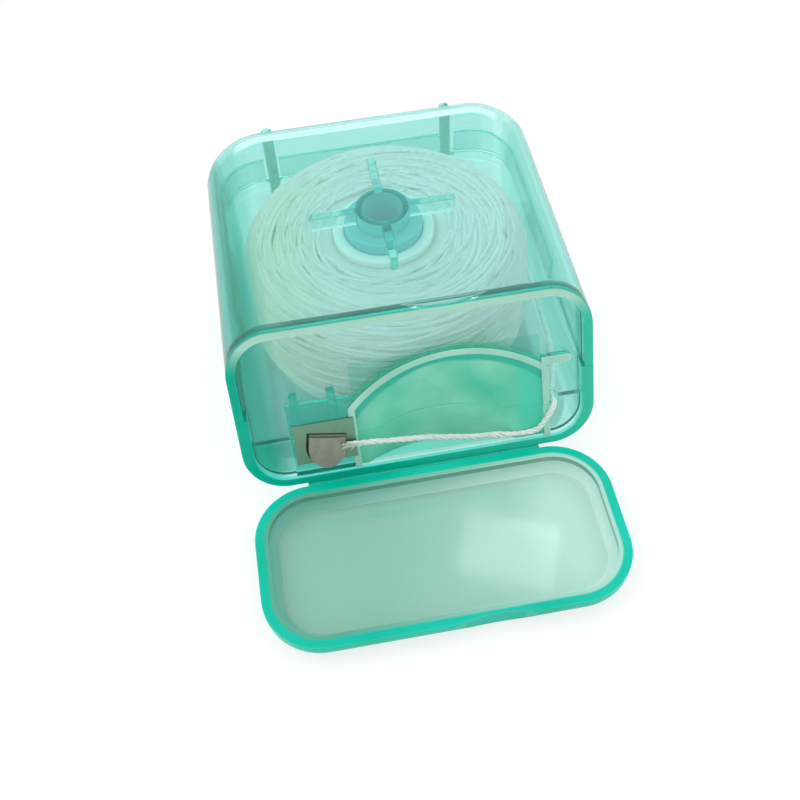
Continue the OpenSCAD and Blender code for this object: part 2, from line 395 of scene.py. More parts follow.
class SharedGroup:
    """Node group that is built once and placed wherever it is needed."""

    NAME: ClassVar[str] = ""
    NODE: ClassVar[str] = "ShaderNodeGroup"
    TREE: ClassVar[str] = "ShaderNodeTree"

    @classmethod
    def place(cls, graph: Graph, **values: Any) -> bpy.types.Node:
        """Places the group in another tree.

        Args:
            graph: The other tree's graph.
            **values: The group's inputs, in lower case and with underscores.

        Returns:
            The group's node.
        """
        tree = bpy.data.node_groups.get(cls.NAME)
        if tree is None:
            tree = bpy.data.node_groups.new(cls.NAME, cls.TREE)
            cls._build(tree)
        named = {key.replace("_", " ").title(): value for key, value in values.items()}
        return graph.add(cls.NODE, named, node_tree=tree)

    @classmethod
    def _build(cls, tree: bpy.types.NodeTree) -> None:
        """Fills the group's empty tree."""
        raise NotImplementedError


class HandlingMarks(SharedGroup):
    """Smudges and fine rubbing on a handled surface."""

    NAME = "handling_marks"
    INPUTS = (
        ("Roughness", 0.1),
        ("Smudges", 0.1),
        ("Smudge Scale", 90.0),
        ("Rubbing", 0.2),
        ("Rub Scale", 900.0),
    )
    SWIRL = 0.6
    PATCHES: Range = (0.45, 0.7)
    LINES: Range = (0.55, 0.75)
    LINE_STRETCH: Point = (1.0, 0.12, 0.5)
    LINE_TURN: Point = (0.0, 0.0, 0.5)

    @classmethod
    def _build(cls, tree: bpy.types.NodeTree) -> None:
        """Puts out a roughness with smudges, and a height for a bump.

        Args:
            tree: The group's empty tree.
        """
        for name, start in cls.INPUTS:
            add_socket(tree, "INPUT", name, start=start)
        add_socket(tree, "OUTPUT", "Roughness")
        add_socket(tree, "OUTPUT", "Height")
        graph = Graph(tree)
        given = graph.add("NodeGroupInput").outputs
        place = graph.place()
        stretched = graph.add(
            "ShaderNodeMapping",
            {"Vector": place, "Scale": cls.LINE_STRETCH, "Rotation": cls.LINE_TURN},
        ).outputs[0]
        smudge = graph.noise(place, given["Smudge Scale"], 3.0, cls.SWIRL)
        rub = graph.noise(stretched, given["Rub Scale"], 2.0)
        patches = graph.between(smudge, *cls.PATCHES)
        lines = graph.between(rub, *cls.LINES)
        worn = graph.math("MULTIPLY_ADD", patches, given["Smudges"], given["Roughness"])
        height = graph.math("MULTIPLY_ADD", lines, given["Rubbing"], smudge)
        graph.add("NodeGroupOutput", {"Roughness": worn, "Height": height})


class RoundedEdge(SharedGroup):
    """Border of a rounded rectangle."""

    NAME = "rounded_edge"
    INPUTS = ("X", "Y", "Centre X", "Centre Y", "Half X", "Half Y", "Corner", "Width")
    FADE = 0.25 * MM

    @classmethod
    def _build(cls, tree: bpy.types.NodeTree) -> None:
        """Puts out 1 on the border and outside it, and 0 within.

        Args:
            tree: The group's empty tree.
        """
        for name in cls.INPUTS:
            add_socket(tree, "INPUT", name)
        add_socket(tree, "OUTPUT", "Rim")
        graph = Graph(tree)
        size = graph.add("NodeGroupInput").outputs
        past: list[bpy.types.NodeSocket] = []
        for axis in ("X", "Y"):
            off = graph.math("SUBTRACT", size[axis], size["Centre " + axis])
            straight = graph.math("SUBTRACT", size["Half " + axis], size["Corner"])
            past.append(
                graph.math("SUBTRACT", graph.math("ABSOLUTE", off), straight)
            )
        reach = graph.length(*(graph.math("MAXIMUM", side, 0.0) for side in past))
        inside = graph.math("MINIMUM", graph.math("MAXIMUM", *past), 0.0)
        depth = graph.math("SUBTRACT", size["Corner"], graph.math("ADD", reach, inside))
        short = graph.math("SUBTRACT", size["Width"], depth)
        rim = graph.math("DIVIDE", short, cls.FADE)
        limited = graph.math("MINIMUM", graph.math("MAXIMUM", rim, 0.0), 1.0)
        graph.add("NodeGroupOutput", {"Rim": limited})


@dataclass(frozen=True)
class Outline:
    """Rounded rectangle whose border a material picks out."""

    centre: tuple[float, float]
    half: tuple[float, float]
    corner: float

    def border(self, graph: Graph, x: Any, y: Any, width: float) -> Any:
        """Marks the border in a material.

        Args:
            graph: The material's graph.
            x: Socket of the place along the first side.
            y: Socket of the place along the second side.
            width: The border's width.

        Returns:
            The mask's socket, 1 on the border.
        """
        marked = RoundedEdge.place(
            graph,
            x=x,
            y=y,
            centre_x=self.centre[0],
            centre_y=self.centre[1],
            half_x=self.half[0],
            half_y=self.half[1],
            corner=self.corner,
            width=width,
        )
        return marked.outputs["Rim"]

    def depth(self, place: Sequence[float]) -> float:
        """Measures how far within the outline a place lies.

        Args:
            place: The place's first two coordinates.

        Returns:
            The distance to the outline, in metres.
        """
        off = Vector(place[:2]) - Vector(self.centre)
        past = [abs(off[k]) - self.half[k] + self.corner for k in range(2)]
        outside = math.hypot(max(past[0], 0.0), max(past[1], 0.0))
        return self.corner - outside - min(max(past), 0.0)


LID_PLAN = Outline((0.0, -39.34 * MM), (24.6 * MM, 12.3 * MM), 8.0 * MM)
MOUTH_OUTLINE = Outline((0.0, 10.64 * MM), (24.75 * MM, 13.84 * MM), 6.2 * MM)


@dataclass(frozen=True)
class TintedPlastic:
    """Clear plastic, coloured by the thickness that light goes through, with painted
    light glowing in its bulk.
    """

    name: str
    surface: Colour = (0.90, 0.962, 0.955)
    clearness: float = 0.96
    roughness: float = 0.03
    bending: float = 1.49
    absorbed: Colour = (0.08, 0.87, 0.82)
    density: float = 230.0
    # Colour and strength of the painted light emitted in the plastic's volume.
    painted_glow: Colour = (0.0, 1.0, 0.80)
    painted_glow_strength: float = 10.0
    passed: Colour = (0.95, 0.985, 0.97)
    smudges: float = 0.06
    relief: float = 0.02
    relief_h: float = 0.2 * MM
    edge: float = 0.3 * MM
    bounces: float = 7.5
    # Painted light that rays past the bounce limit end in.
    far: Colour = (0.45, 0.85, 0.78)

    def build(self) -> bpy.types.Material:
        """Makes the material: clear to the eye, and open to light and shadow rays.

        Returns:
            The material.
        """
        material, graph = new_material(self.name)
        marks = HandlingMarks.place(
            graph, roughness=self.roughness, smudges=self.smudges
        )
        softened = graph.add("ShaderNodeBevel", {"Radius": self.edge}, samples=4)
        bump = graph.add(
            "ShaderNodeBump",
            {
                "Strength": self.relief,
                "Distance": self.relief_h,
                "Height": marks.outputs["Height"],
                "Normal": softened.outputs[0],
            },
        )
        plastic = graph.add(
            "ShaderNodeBsdfPrincipled",
            {
                "Base Color": self._colour(graph),
                "Roughness": marks.outputs["Roughness"],
                "IOR": self.bending,
                "Transmission Weight": self.clearness,
                "Normal": bump.outputs[0],
            },
        )
        passing = graph.add("ShaderNodeBsdfTransparent", {"Color": rgba(self.passed)})
        rays = graph.add("ShaderNodeLightPath").outputs
        lit = graph.math("MAXIMUM", rays["Is Shadow Ray"], rays["Is Diffuse Ray"])
        either = graph.mix(lit, plastic, passing)
        # Rays past the bounce limit see the far colour: painted light in place of the
        # light that deeper paths would bring.
        lost = graph.math("GREATER_THAN", rays["Ray Depth"], self.bounces)
        ended = graph.add(
            "ShaderNodeEmission", {"Color": rgba(self.far), "Strength": 1.0}
        )
        seen = graph.mix(lost, either, ended)
        depth = graph.add(
            "ShaderNodeVolumeAbsorption",
            {"Color": rgba(self.absorbed), "Density": self.density},
        )
        # The volume's emission is painted light, glowing more where the eye looks
        # through more plastic.
        within = graph.add(
            "ShaderNodeEmission",
            {"Color": rgba(self.painted_glow), "Strength": self.painted_glow_strength},
        )
        bulk = graph.add(
            "ShaderNodeAddShader", {0: depth.outputs[0], 1: within.outputs[0]}
        )
        graph.add(
            "ShaderNodeOutputMaterial",
            {"Surface": seen.outputs[0], "Volume": bulk.outputs[0]},
        )
        return material

    def _colour(self, graph: Graph) -> Any:
        """Gives the base colour, the same all over."""
        return rgba(self.surface)


@dataclass(frozen=True)
class ShellPlastic(TintedPlastic):
    """Case plastic, deeper at the mouth's rim and in the finger scoop, with painted
    shadow near its bottom.
    """

    fade: float = 0.3 * MM
    rim: Colour = (0.05, 0.78, 0.66)
    rim_depth: float = 0.9 * MM
    scoop: Colour = (0.30, 0.80, 0.68)
    # Painted shadow over the faces near the case's bottom.
    shadowed_sole: Colour = (0.25, 0.44, 0.41)
    shadowed_sole_top: float = 1.75 * MM
    side: Colour = (0.15, 0.53, 0.47)
    far_side: Colour = (0.38, 0.74, 0.68)
    side_x: float = 23.0 * MM
    well: Colour = (0.20, 0.66, 0.57)
    well_x: Range = (-20.8 * MM, -17.8 * MM)
    well_depth: Range = (8.0 * MM, 48.0 * MM)
    well_rest: float = 0.15
    back: Colour = (0.62, 0.85, 0.83)
    back_y: float = 24.4 * MM
    scoop_side: Range = (-8.6 * MM, 17.6 * MM)
    scoop_depth: Range = (1.9 * MM, 7.0 * MM)
    scoop_top: float = 16.6 * MM

    def _colour(self, graph: Graph) -> Any:
        """Gives the base colour: back, well, sides, painted shadow near the bottom,
        scoop and rim in turn.

        Args:
            graph: The material's graph.

        Returns:
            The colour's socket.
        """
        across, depth, up = mouth_place(graph)
        _, deep, high = graph.axes(graph.place())
        rear = self._past(graph, deep, self.back_y)
        backed = graph.blend(rear, self.surface, self.back)
        wells = graph.math(
            "MULTIPLY",
            graph.between(across, *self.well_x, 1.0, 0.0),
            graph.between(depth, *self.well_depth, 1.0, self.well_rest),
        )
        welled = graph.blend(wells, backed, self.well)
        rightward = graph.between(across, -self.fade, self.fade)
        side_tint = graph.blend(rightward, self.side, self.far_side)
        flank = self._past(graph, graph.math("ABSOLUTE", across), self.side_x)
        sided = graph.blend(flank, welled, side_tint)
        # The lowest faces are darkened: painted shadow from the floor under the case.
        shadowed_sole = self._short_of(graph, high, self.shadowed_sole_top)
        plain = graph.blend(shadowed_sole, sided, self.shadowed_sole)
        scooped = self._past(graph, across, self.scoop_side[0])
        for mask in (
            self._short_of(graph, across, self.scoop_side[1]),
            self._past(graph, depth, self.scoop_depth[0]),
            self._short_of(graph, depth, self.scoop_depth[1]),
            self._short_of(graph, up, self.scoop_top),
        ):
            scooped = graph.math("MULTIPLY", scooped, mask)
        deeper = graph.blend(scooped, plain, self.scoop)
        rim = self._short_of(graph, depth, self.rim_depth - self.fade)
        return graph.blend(rim, deeper, self.rim)

    def _past(self, graph: Graph, value: Any, limit: float) -> bpy.types.NodeSocket:
        """Marks where a value is past a limit, after a short fade."""
        return graph.between(value, limit - self.fade, limit)

    def _short_of(self, graph: Graph, value: Any, limit: float) -> Any:
        """Marks where a value is short of a limit, with a short fade after it."""
        return graph.between(value, limit, limit + self.fade, 1.0, 0.0)


@dataclass(frozen=True)
class LidPlastic(TintedPlastic):
    """Lid plastic: a misted dish within a deep, clear rim, with painted light on the
    dish.
    """

    rim: Colour = (0.0, 0.52, 0.38)
    rim_width: float = 1.7 * MM
    # The dish grows paler towards its right end: painted light.
    pale: Colour = (0.66, 0.77, 0.69)
    painted_light_x: Range = (-4.0 * MM, 26.0 * MM)
    # Painted light on both ends of the dish, where its walls curve up.
    painted_end_light: Colour = (0.82, 0.88, 0.82)
    painted_end_light_x: Range = (17.0 * MM, 23.5 * MM)
    painted_end_light_most: float = 0.75
    cloud_scale: float = 70.0
    cloud_shift: float = 12.0 * MM

    def _colour(self, graph: Graph) -> Any:
        """Gives the base colour: rim, dish, and painted light that makes the dish paler
        towards its right end and at both ends.

        Args:
            graph: The material's graph.

        Returns:
            The colour's socket.
        """
        place = graph.place()
        x, y, _ = graph.axes(place)
        edge = LID_PLAN.border(graph, x, y, self.rim_width)
        cloud = graph.noise(place, self.cloud_scale, 3.0)
        along = graph.math("MULTIPLY_ADD", cloud, self.cloud_shift, x)
        # Painted light over the dish's right part.
        pale = graph.between(along, *self.painted_light_x)
        dish = graph.blend(pale, self.surface, self.pale)
        off = graph.math("ABSOLUTE", along)
        # Painted light at the dish's two ends.
        ends = graph.between(off, *self.painted_end_light_x, 0.0, self.painted_end_light_most)
        misted = graph.blend(ends, dish, self.painted_end_light)
        return graph.blend(edge, misted, self.rim)


@dataclass(frozen=True)
class WoundFloss:
    """Twisted floss, with its fibres along the thread's own attributes."""

    name: str
    pale: Colour = (0.93, 0.91, 0.88)
    shade: Colour = (0.82, 0.84, 0.78)
    # Yellow-green tint over the floss's left side, in patches.
    left_tint: Colour = (0.76, 0.83, 0.62)
    left_tint_x: Range = (-9.0 * MM, 2.0 * MM)
    left_tint_most: float = 0.75
    left_tint_shift: float = 18.0 * MM
    twist: float = 1500.0
    strands: float = 3.0
    fibre_scale: float = 5200.0
    fibre_share: float = 0.8
    patch_scale: float = 160.0
    patches: Range = (0.4, 0.7)
    groove_h: Range = (-1.0, 0.6)
    groove_shade: Range = (1.0, 0.25)
    relief: float = 0.5
    relief_h: float = 0.08 * MM
    roughness: float = 0.5
    softness: float = 0.25
    soft_radius: Colour = (0.6, 0.6, 0.5)
    soft_depth: float = 0.6 * MM
    fuzz: float = 0.15

    def build(self) -> bpy.types.Material:
        """Makes the material.

        Returns:
            The material.
        """
        material, graph = new_material(self.name)
        along, around = (
            graph.add("ShaderNodeAttribute", attribute_name=name).outputs["Fac"]
            for name in (ThreadSweep.ALONG, ThreadSweep.AROUND)
        )
        lay = graph.math(
            "MULTIPLY_ADD",
            along,
            self.twist * math.pi,
            graph.math("MULTIPLY", around, math.tau * self.strands),
        )
        groove = graph.math("SINE", lay)
        place = graph.place()
        fibre = graph.noise(place, self.fibre_scale, 2.0)
        patch = graph.noise(place, self.patch_scale, 2.0)
        height = graph.math("MULTIPLY_ADD", fibre, self.fibre_share, groove)
        bump = graph.add(
            "ShaderNodeBump",
            {"Strength": self.relief, "Distance": self.relief_h, "Height": height},
        )
        dark = graph.math(
            "MULTIPLY",
            graph.between(patch, *self.patches),
            graph.between(groove, *self.groove_h, *self.groove_shade),
        )
        clean = graph.blend(dark, self.pale, self.shade)
        across = graph.axes(place)[0]
        shifted = graph.math("MULTIPLY_ADD", patch, self.left_tint_shift, across)
        left_tinted = graph.between(shifted, *self.left_tint_x, self.left_tint_most, 0.0)
        floss = graph.add(
            "ShaderNodeBsdfPrincipled",
            {
                "Base Color": graph.blend(left_tinted, clean, self.left_tint),
                "Roughness": self.roughness,
                "Subsurface Weight": self.softness,
                "Subsurface Radius": self.soft_radius,
                "Subsurface Scale": self.soft_depth,
                "Sheen Weight": self.fuzz,
                "Normal": bump.outputs[0],
            },
        )
        graph.add("ShaderNodeOutputMaterial", {"Surface": floss.outputs[0]})
        return material


@dataclass(frozen=True)
class SheetSteel:
    """Thin bright sheet steel with rolling marks."""

    name: str
    colour: Colour = (0.30, 0.31, 0.28)
    roughness: float = 0.38
    smudges: float = 0.2
    smudge_scale: float = 700.0
    rolling: float = 1.0
    rolling_scale: float = 4000.0
    relief: float = 0.12
    relief_h: float = 0.02 * MM

    def build(self) -> bpy.types.Material:
        """Makes the material.

        Returns:
            The material.
        """
        material, graph = new_material(self.name)
        marks = HandlingMarks.place(
            graph,
            roughness=self.roughness,
            smudges=self.smudges,
            smudge_scale=self.smudge_scale,
            rubbing=self.rolling,
            rub_scale=self.rolling_scale,
        )
        bump = graph.add(
            "ShaderNodeBump",
            {
                "Strength": self.relief,
                "Distance": self.relief_h,
                "Height": marks.outputs["Height"],
            },
        )
        steel = graph.add(
            "ShaderNodeBsdfPrincipled",
            {
                "Base Color": rgba(self.colour),
                "Metallic": 1.0,
                "Roughness": marks.outputs["Roughness"],
                "Normal": bump.outputs[0],
            },
        )
        graph.add("ShaderNodeOutputMaterial", {"Surface": steel.outputs[0]})
        return material


@dataclass(frozen=True)
class SatinPlastic:
    """Opaque moulded plastic with a satin face."""

    name: str
    colour: Colour = (0.88, 0.92, 0.89)
    roughness: float = 0.42
    relief: float = 0.1
    relief_h: float = 0.05 * MM
    softness: float = 0.2
    soft_depth: float = 1.0 * MM

    def build(self) -> bpy.types.Material:
        """Makes the material.

        Returns:
            The material.
        """
        material, graph = new_material(self.name)
        marks = HandlingMarks.place(graph, roughness=self.roughness)
        bump = graph.add(
            "ShaderNodeBump",
            {
                "Strength": self.relief,
                "Distance": self.relief_h,
                "Height": marks.outputs["Height"],
            },
        )
        plastic = graph.add(
            "ShaderNodeBsdfPrincipled",
            {
                "Base Color": rgba(self.colour),
                "Roughness": marks.outputs["Roughness"],
                "Subsurface Weight": self.softness,
                "Subsurface Scale": self.soft_depth,
                "Normal": bump.outputs[0],
            },
        )
        graph.add("ShaderNodeOutputMaterial", {"Surface": plastic.outputs[0]})
        return material


@dataclass(frozen=True)
class DeepPlastic:
    """Tinted plastic that is thick or misted enough to hide what is behind it, lit from
    within by painted light of its own colour.
    """

    name: str
    colour: Colour = (0.11, 0.56, 0.40)
    cloud: Colour = (0.19, 0.66, 0.50)
    cloud_scale: float = 130.0
    clouds: Range = (0.35, 0.7)
    roughness: float = 0.22
    # Strength of the painted light that the base colour emits.
    lift: float = 0.08
    shine: float = 0.5
    softness: float = 0.4
    soft_radius: Colour = (0.3, 1.0, 0.9)
    soft_depth: float = 0.8 * MM

    def build(self) -> bpy.types.Material:
        """Makes the material.

        Returns:
            The material.
        """
        material, graph = new_material(self.name)
        marks = HandlingMarks.place(graph, roughness=self.roughness)
        colour = self._colour(graph)
        plastic = graph.add(
            "ShaderNodeBsdfPrincipled",
            {
                "Base Color": colour,
                "Roughness": marks.outputs["Roughness"],
                "Specular IOR Level": self.shine,
                "Subsurface Weight": self.softness,
                "Subsurface Radius": self.soft_radius,
                "Subsurface Scale": self.soft_depth,
                # The emission is painted light that lifts the plastic out of its shade.
                "Emission Color": colour,
                "Emission Strength": self.lift,
            },
        )
        graph.add("ShaderNodeOutputMaterial", {"Surface": plastic.outputs[0]})
        return material

    def _colour(self, graph: Graph) -> Any:
        """Gives the base colour, with soft clouds in it.

        Args:
            graph: The material's graph.

        Returns:
            The colour's socket.
        """
        cloud = graph.noise(graph.place(), self.cloud_scale, 2.0)
        amount = graph.between(cloud, *self.clouds)
        return graph.blend(amount, self.colour, self.cloud)


@dataclass(frozen=True)
class ScoopPlastic(DeepPlastic):
    """Deep plastic of the finger scoop, with painted shade just under its ledge, and
    fullest at its end.
    """

    # Painted shade just under the ledge.
    full: Colour = (0.035, 0.45, 0.32)
    bright: Colour = (0.07, 0.58, 0.43)
    arch_x: float = 5.3 * MM
    arch_h: float = 16.4 * MM
    arch_r: float = 19.0 * MM
    band: Range = (1.5 * MM, 1.1 * MM)
    end_x: Range = (14.1 * MM, 14.6 * MM)
    end_most: float = 0.8

    def _colour(self, graph: Graph) -> Any:
        """Gives the base colour, by the distance to the arch and to its right end; the
        strip just under the arch is painted shade.

        Args:
            graph: The material's graph.

        Returns:
            The colour's socket.
        """
        across, _, up = mouth_place(graph)
        side = graph.math("SUBTRACT", across, self.arch_x)
        rise = graph.math("SUBTRACT", up, self.arch_h - self.arch_r)
        reach = graph.length(side, rise)
        # Painted shade in a strip just under the arch.
        banded = graph.between(reach, *(self.arch_r - inset for inset in self.band))
        ended = graph.between(across, *self.end_x, 0.0, self.end_most)
        sided = graph.blend(ended, super()._colour(graph), self.bright)
        return graph.blend(banded, sided, self.full)


@dataclass(frozen=True)
class RimPlastic(DeepPlastic):
    """Deep plastic of the mouth's rim, pale and misted along its upper side."""

    right: Colour = (0.045, 0.55, 0.39)
    right_x: Range = (-5.0 * MM, 22.0 * MM)
    upper: Colour = (0.44, 0.72, 0.60)
    upper_h: Range = (18.5 * MM, 22.6 * MM)
    outline: Colour = (0.02, 0.44, 0.36)
    line: float = 0.32 * MM

    def _colour(self, graph: Graph) -> Any:
        """Gives the base colour: deep below, brighter at the right, pale above.

        Args:
            graph: The material's graph.

        Returns:
            The colour's socket.
        """
        across, _, up = mouth_place(graph)
        edge = MOUTH_OUTLINE.border(graph, across, up, self.line)
        righter = graph.between(across, *self.right_x)
        deep = graph.blend(righter, super()._colour(graph), self.right)
        high = graph.between(up, *self.upper_h)
        faded = graph.blend(high, deep, self.upper)
        lined = graph.blend(edge, faded, self.outline)
        return graph.blend(high, deep, lined)


@dataclass(frozen=True)
class LidRimPlastic(DeepPlastic):
    """Deep plastic of the lid's rim, misted on its inner half, with painted shade at
    the left and painted light at the right.
    """

    # Inner wall and land colours: misted plastic, darker at the left and paler at the
    # right as painted shade and light.
    misted: Colour = (0.20, 0.50, 0.41)
    painted_lit_milky: Colour = (0.60, 0.83, 0.76)
    land: Colour = (0.11, 0.39, 0.30)
    painted_lit_land: Colour = (0.42, 0.70, 0.61)
    painted_light_x: Range = (-14.0 * MM, 22.0 * MM)
    land_z: Range = (3.26 * MM, 3.3 * MM)
    foot_z: Range = (0.35 * MM, 0.7 * MM)
    width: float = 1.25 * MM

    def _colour(self, graph: Graph) -> Any:
        """Gives the base colour: deep outside and below, misted within, darker at the
        left and paler at the right as painted shade and light.

        Args:
            graph: The material's graph.

        Returns:
            The colour's socket.
        """
        x, y, z = graph.axes(graph.place())
        rim = LID_PLAN.border(graph, x, y, self.width)
        below = graph.between(z, *self.foot_z, 1.0, 0.0)
        # Painted shade at the left and painted light at the right, over the inner wall
        # and the land.
        right = graph.between(x, *self.painted_light_x)
        wall = graph.blend(right, self.misted, self.painted_lit_milky)
        land = graph.blend(right, self.land, self.painted_lit_land)
        inner = graph.blend(graph.between(z, *self.land_z), wall, land)
        outer = graph.math("MAXIMUM", rim, below)
        return graph.blend(outer, inner, super()._colour(graph))


@dataclass(frozen=True)
class HubPlastic(DeepPlastic):
    """Deep plastic of the spindle, and of the ring that hangs over it."""

    spindle: Colour = (0.05, 0.46, 0.48)
    ring: Colour = (0.04, 0.50, 0.47)
    ring_z: Range = (22.43 * MM, 22.44 * MM)
    step: Colour = (0.08, 0.49, 0.50)
    step_z: Range = (22.31 * MM, 22.39 * MM)

    def _colour(self, graph: Graph) -> Any:
        """Gives the base colour: the ring's, the spindle's, and its paler top.

        Args:
            graph: The material's graph.

        Returns:
            The colour's socket.
        """
        high = graph.axes(graph.place())[2]
        top = graph.between(high, *self.step_z)
        stood = graph.blend(top, self.spindle, self.step)
        return graph.blend(graph.between(high, *self.ring_z), stood, self.ring)


@dataclass(frozen=True)
class Finishes:
    """Every finish of the dispenser, each made once."""

    shell: bpy.types.Material
    hub: bpy.types.Material
    scoop: bpy.types.Material
    ledge: bpy.types.Material
    rib: bpy.types.Material
    rim: bpy.types.Material
    lid_rim: bpy.types.Material
    lid: bpy.types.Material
    floss: bpy.types.Material
    strand: bpy.types.Material
    steel: bpy.types.Material
    tongue: bpy.types.Material
    cut_edge: bpy.types.Material
    core: bpy.types.Material

    @classmethod
    def make(cls) -> Finishes:
        """Makes them all.

        Returns:
            The finishes.
        """
        return cls(
            shell=ShellPlastic("clear_shell").build(),
            # Each lift sets how strongly a deep plastic emits its colour, as painted
            # light against its shade.
            hub=HubPlastic("hub_plastic", lift=0.22).build(),
            scoop=ScoopPlastic(
                "scoop_plastic",
                colour=(0.08, 0.52, 0.36),
                cloud=(0.25, 0.66, 0.50),
                cloud_scale=110.0,
                lift=0.2,
                shine=0.3,
            ).build(),
            ledge=DeepPlastic(
                "ledge_plastic", colour=(0.33, 0.64, 0.52), cloud=(0.44, 0.74, 0.63)
            ).build(),
            rib=DeepPlastic(
                "rib_plastic",
                colour=(0.22, 0.66, 0.60),
                cloud=(0.3, 0.75, 0.7),
                lift=0.1,
            ).build(),
            rim=RimPlastic(
                "rim_plastic",
                colour=(0.0, 0.41, 0.28),
                cloud=(0.0, 0.47, 0.33),
                roughness=0.12,
                shine=0.15,
            ).build(),
            lid_rim=LidRimPlastic(
                "lid_rim_plastic",
                colour=(0.0, 0.49, 0.35),
                cloud=(0.01, 0.58, 0.44),
                cloud_scale=60.0,
                roughness=0.12,
                shine=0.15,
            ).build(),
            lid=LidPlastic(
                "misted_lid",
                density=480.0,
                surface=(0.41, 0.60, 0.50),
                clearness=0.66,
                roughness=0.05,
                smudges=0.05,
            ).build(),
            floss=WoundFloss("wound_floss").build(),
            strand=WoundFloss(
                "drawn_floss", pale=(0.96, 0.96, 0.93), shade=(0.85, 0.88, 0.82)
            ).build(),
            # The plate's green is a painted reflection of the tinted plastic round it.
            steel=SheetSteel("sheet_steel", colour=(0.22, 0.37, 0.27)).build(),
            tongue=SheetSteel(
                "tongue_steel", colour=(0.215, 0.235, 0.195), roughness=0.42
            ).build(),
            # Near-black steel for the sheet behind the tongue's hole: painted shadow.
            cut_edge=SheetSteel(
                "painted_slot_shadow", colour=(0.06, 0.07, 0.06), roughness=0.6
            ).build(),
            core=SatinPlastic("core_plastic").build(),
        )


def add_piece(
    name: str,
    mesh: bpy.types.Mesh,
    material: bpy.types.Material,
    body: Body,
    replaced: Sequence[str] = (),
) -> bpy.types.Object:
    """Puts a finished mesh in the scene and lets it ride on its body.

    Args:
        name: The piece's name.
        mesh: Its mesh, in the row frame.
        material: Its finish.
        body: The body that it rides on.
        replaced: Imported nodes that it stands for.

    Returns:
        The new object.
    """
    mesh.materials.clear()
    mesh.materials.append(material)
    piece = bpy.data.objects.new(name, mesh)
    bpy.context.scene.collection.objects.link(piece)
    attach(piece, body.value)
    if replaced:
        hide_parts(*replaced)
    LOG.info("%s: %d faces, rides on %s", name, len(mesh.polygons), body.value)
    return piece


def mesh_from(
    name: str, points: Sequence[Sequence[float]], faces: Sequence[Sequence[int]]
) -> bpy.types.Mesh:
    """Makes a smooth mesh with its faces pointing outwards.

    Args:
        name: The mesh's name.
        points: Its points, in metres.
        faces: Its faces, as numbers of points.

    Returns:
        The mesh.
    """
    mesh = bpy.data.meshes.new(name)
    mesh.from_pydata([tuple(p) for p in points], [], [tuple(f) for f in faces])
    form = bmesh.new()
    form.from_mesh(mesh)
    bmesh.ops.remove_doubles(form, verts=form.verts, dist=1e-7)
    bmesh.ops.recalc_face_normals(form, faces=form.faces)
    form.to_mesh(mesh)
    form.free()
    mesh.shade_smooth()
    return mesh


def lathe(
    name: str, profile: Sequence[tuple[float, float]], axis_y: float, sides: int = 128
) -> bpy.types.Mesh:
    """Turns a closed profile about an upright axis.

    Args:
        name: The mesh's name.
        profile: Radius and height of each corner, in order round the profile.
        axis_y: The axis's place along Y.
        sides: Steps in a turn.

    Returns:
        The closed mesh.
    """
    points = [
        (r * math.cos(a), axis_y + r * math.sin(a), z)
        for a in (math.tau * i / sides for i in range(sides))
        for r, z in profile
    ]
    count = len(profile)
    faces = [
        (
            i * count + k,
            (i + 1) % sides * count + k,
            (i + 1) % sides * count + (k + 1) % count,
            i * count + (k + 1) % count,
        )
        for i in range(sides)
        for k in range(count)
    ]
    return mesh_from(name, points, faces)


def rounded_profile(
    corners: Sequence[tuple[float, float, float]], steps: int = 6
) -> list[tuple[float, float]]:
    """Rounds the corners of a closed profile.

    Args:
        corners: Radius, height and rounding of each corner, in order.
        steps: Steps in each rounding.

    Returns:
        The points of the rounded profile.
    """
    out: list[tuple[float, float]] = []
    count = len(corners)
    for i, (r, z, rounding) in enumerate(corners):
        here = Vector((r, z))
        before = (Vector(corners[i - 1][:2]) - here).normalized()
        after = (Vector(corners[(i + 1) % count][:2]) - here).normalized()
        if rounding <= 0.0:
            out.append((r, z))
            continue
        angle = before.angle(after)
        reach = rounding / math.tan(angle / 2.0)
        start, end = here + before * reach, here + after * reach
        for k in range(steps + 1):
            t = k / steps
            point = start * (1 - t) ** 2 + here * 2 * t * (1 - t) + end * t**2
            out.append((point.x, point.y))
    return out


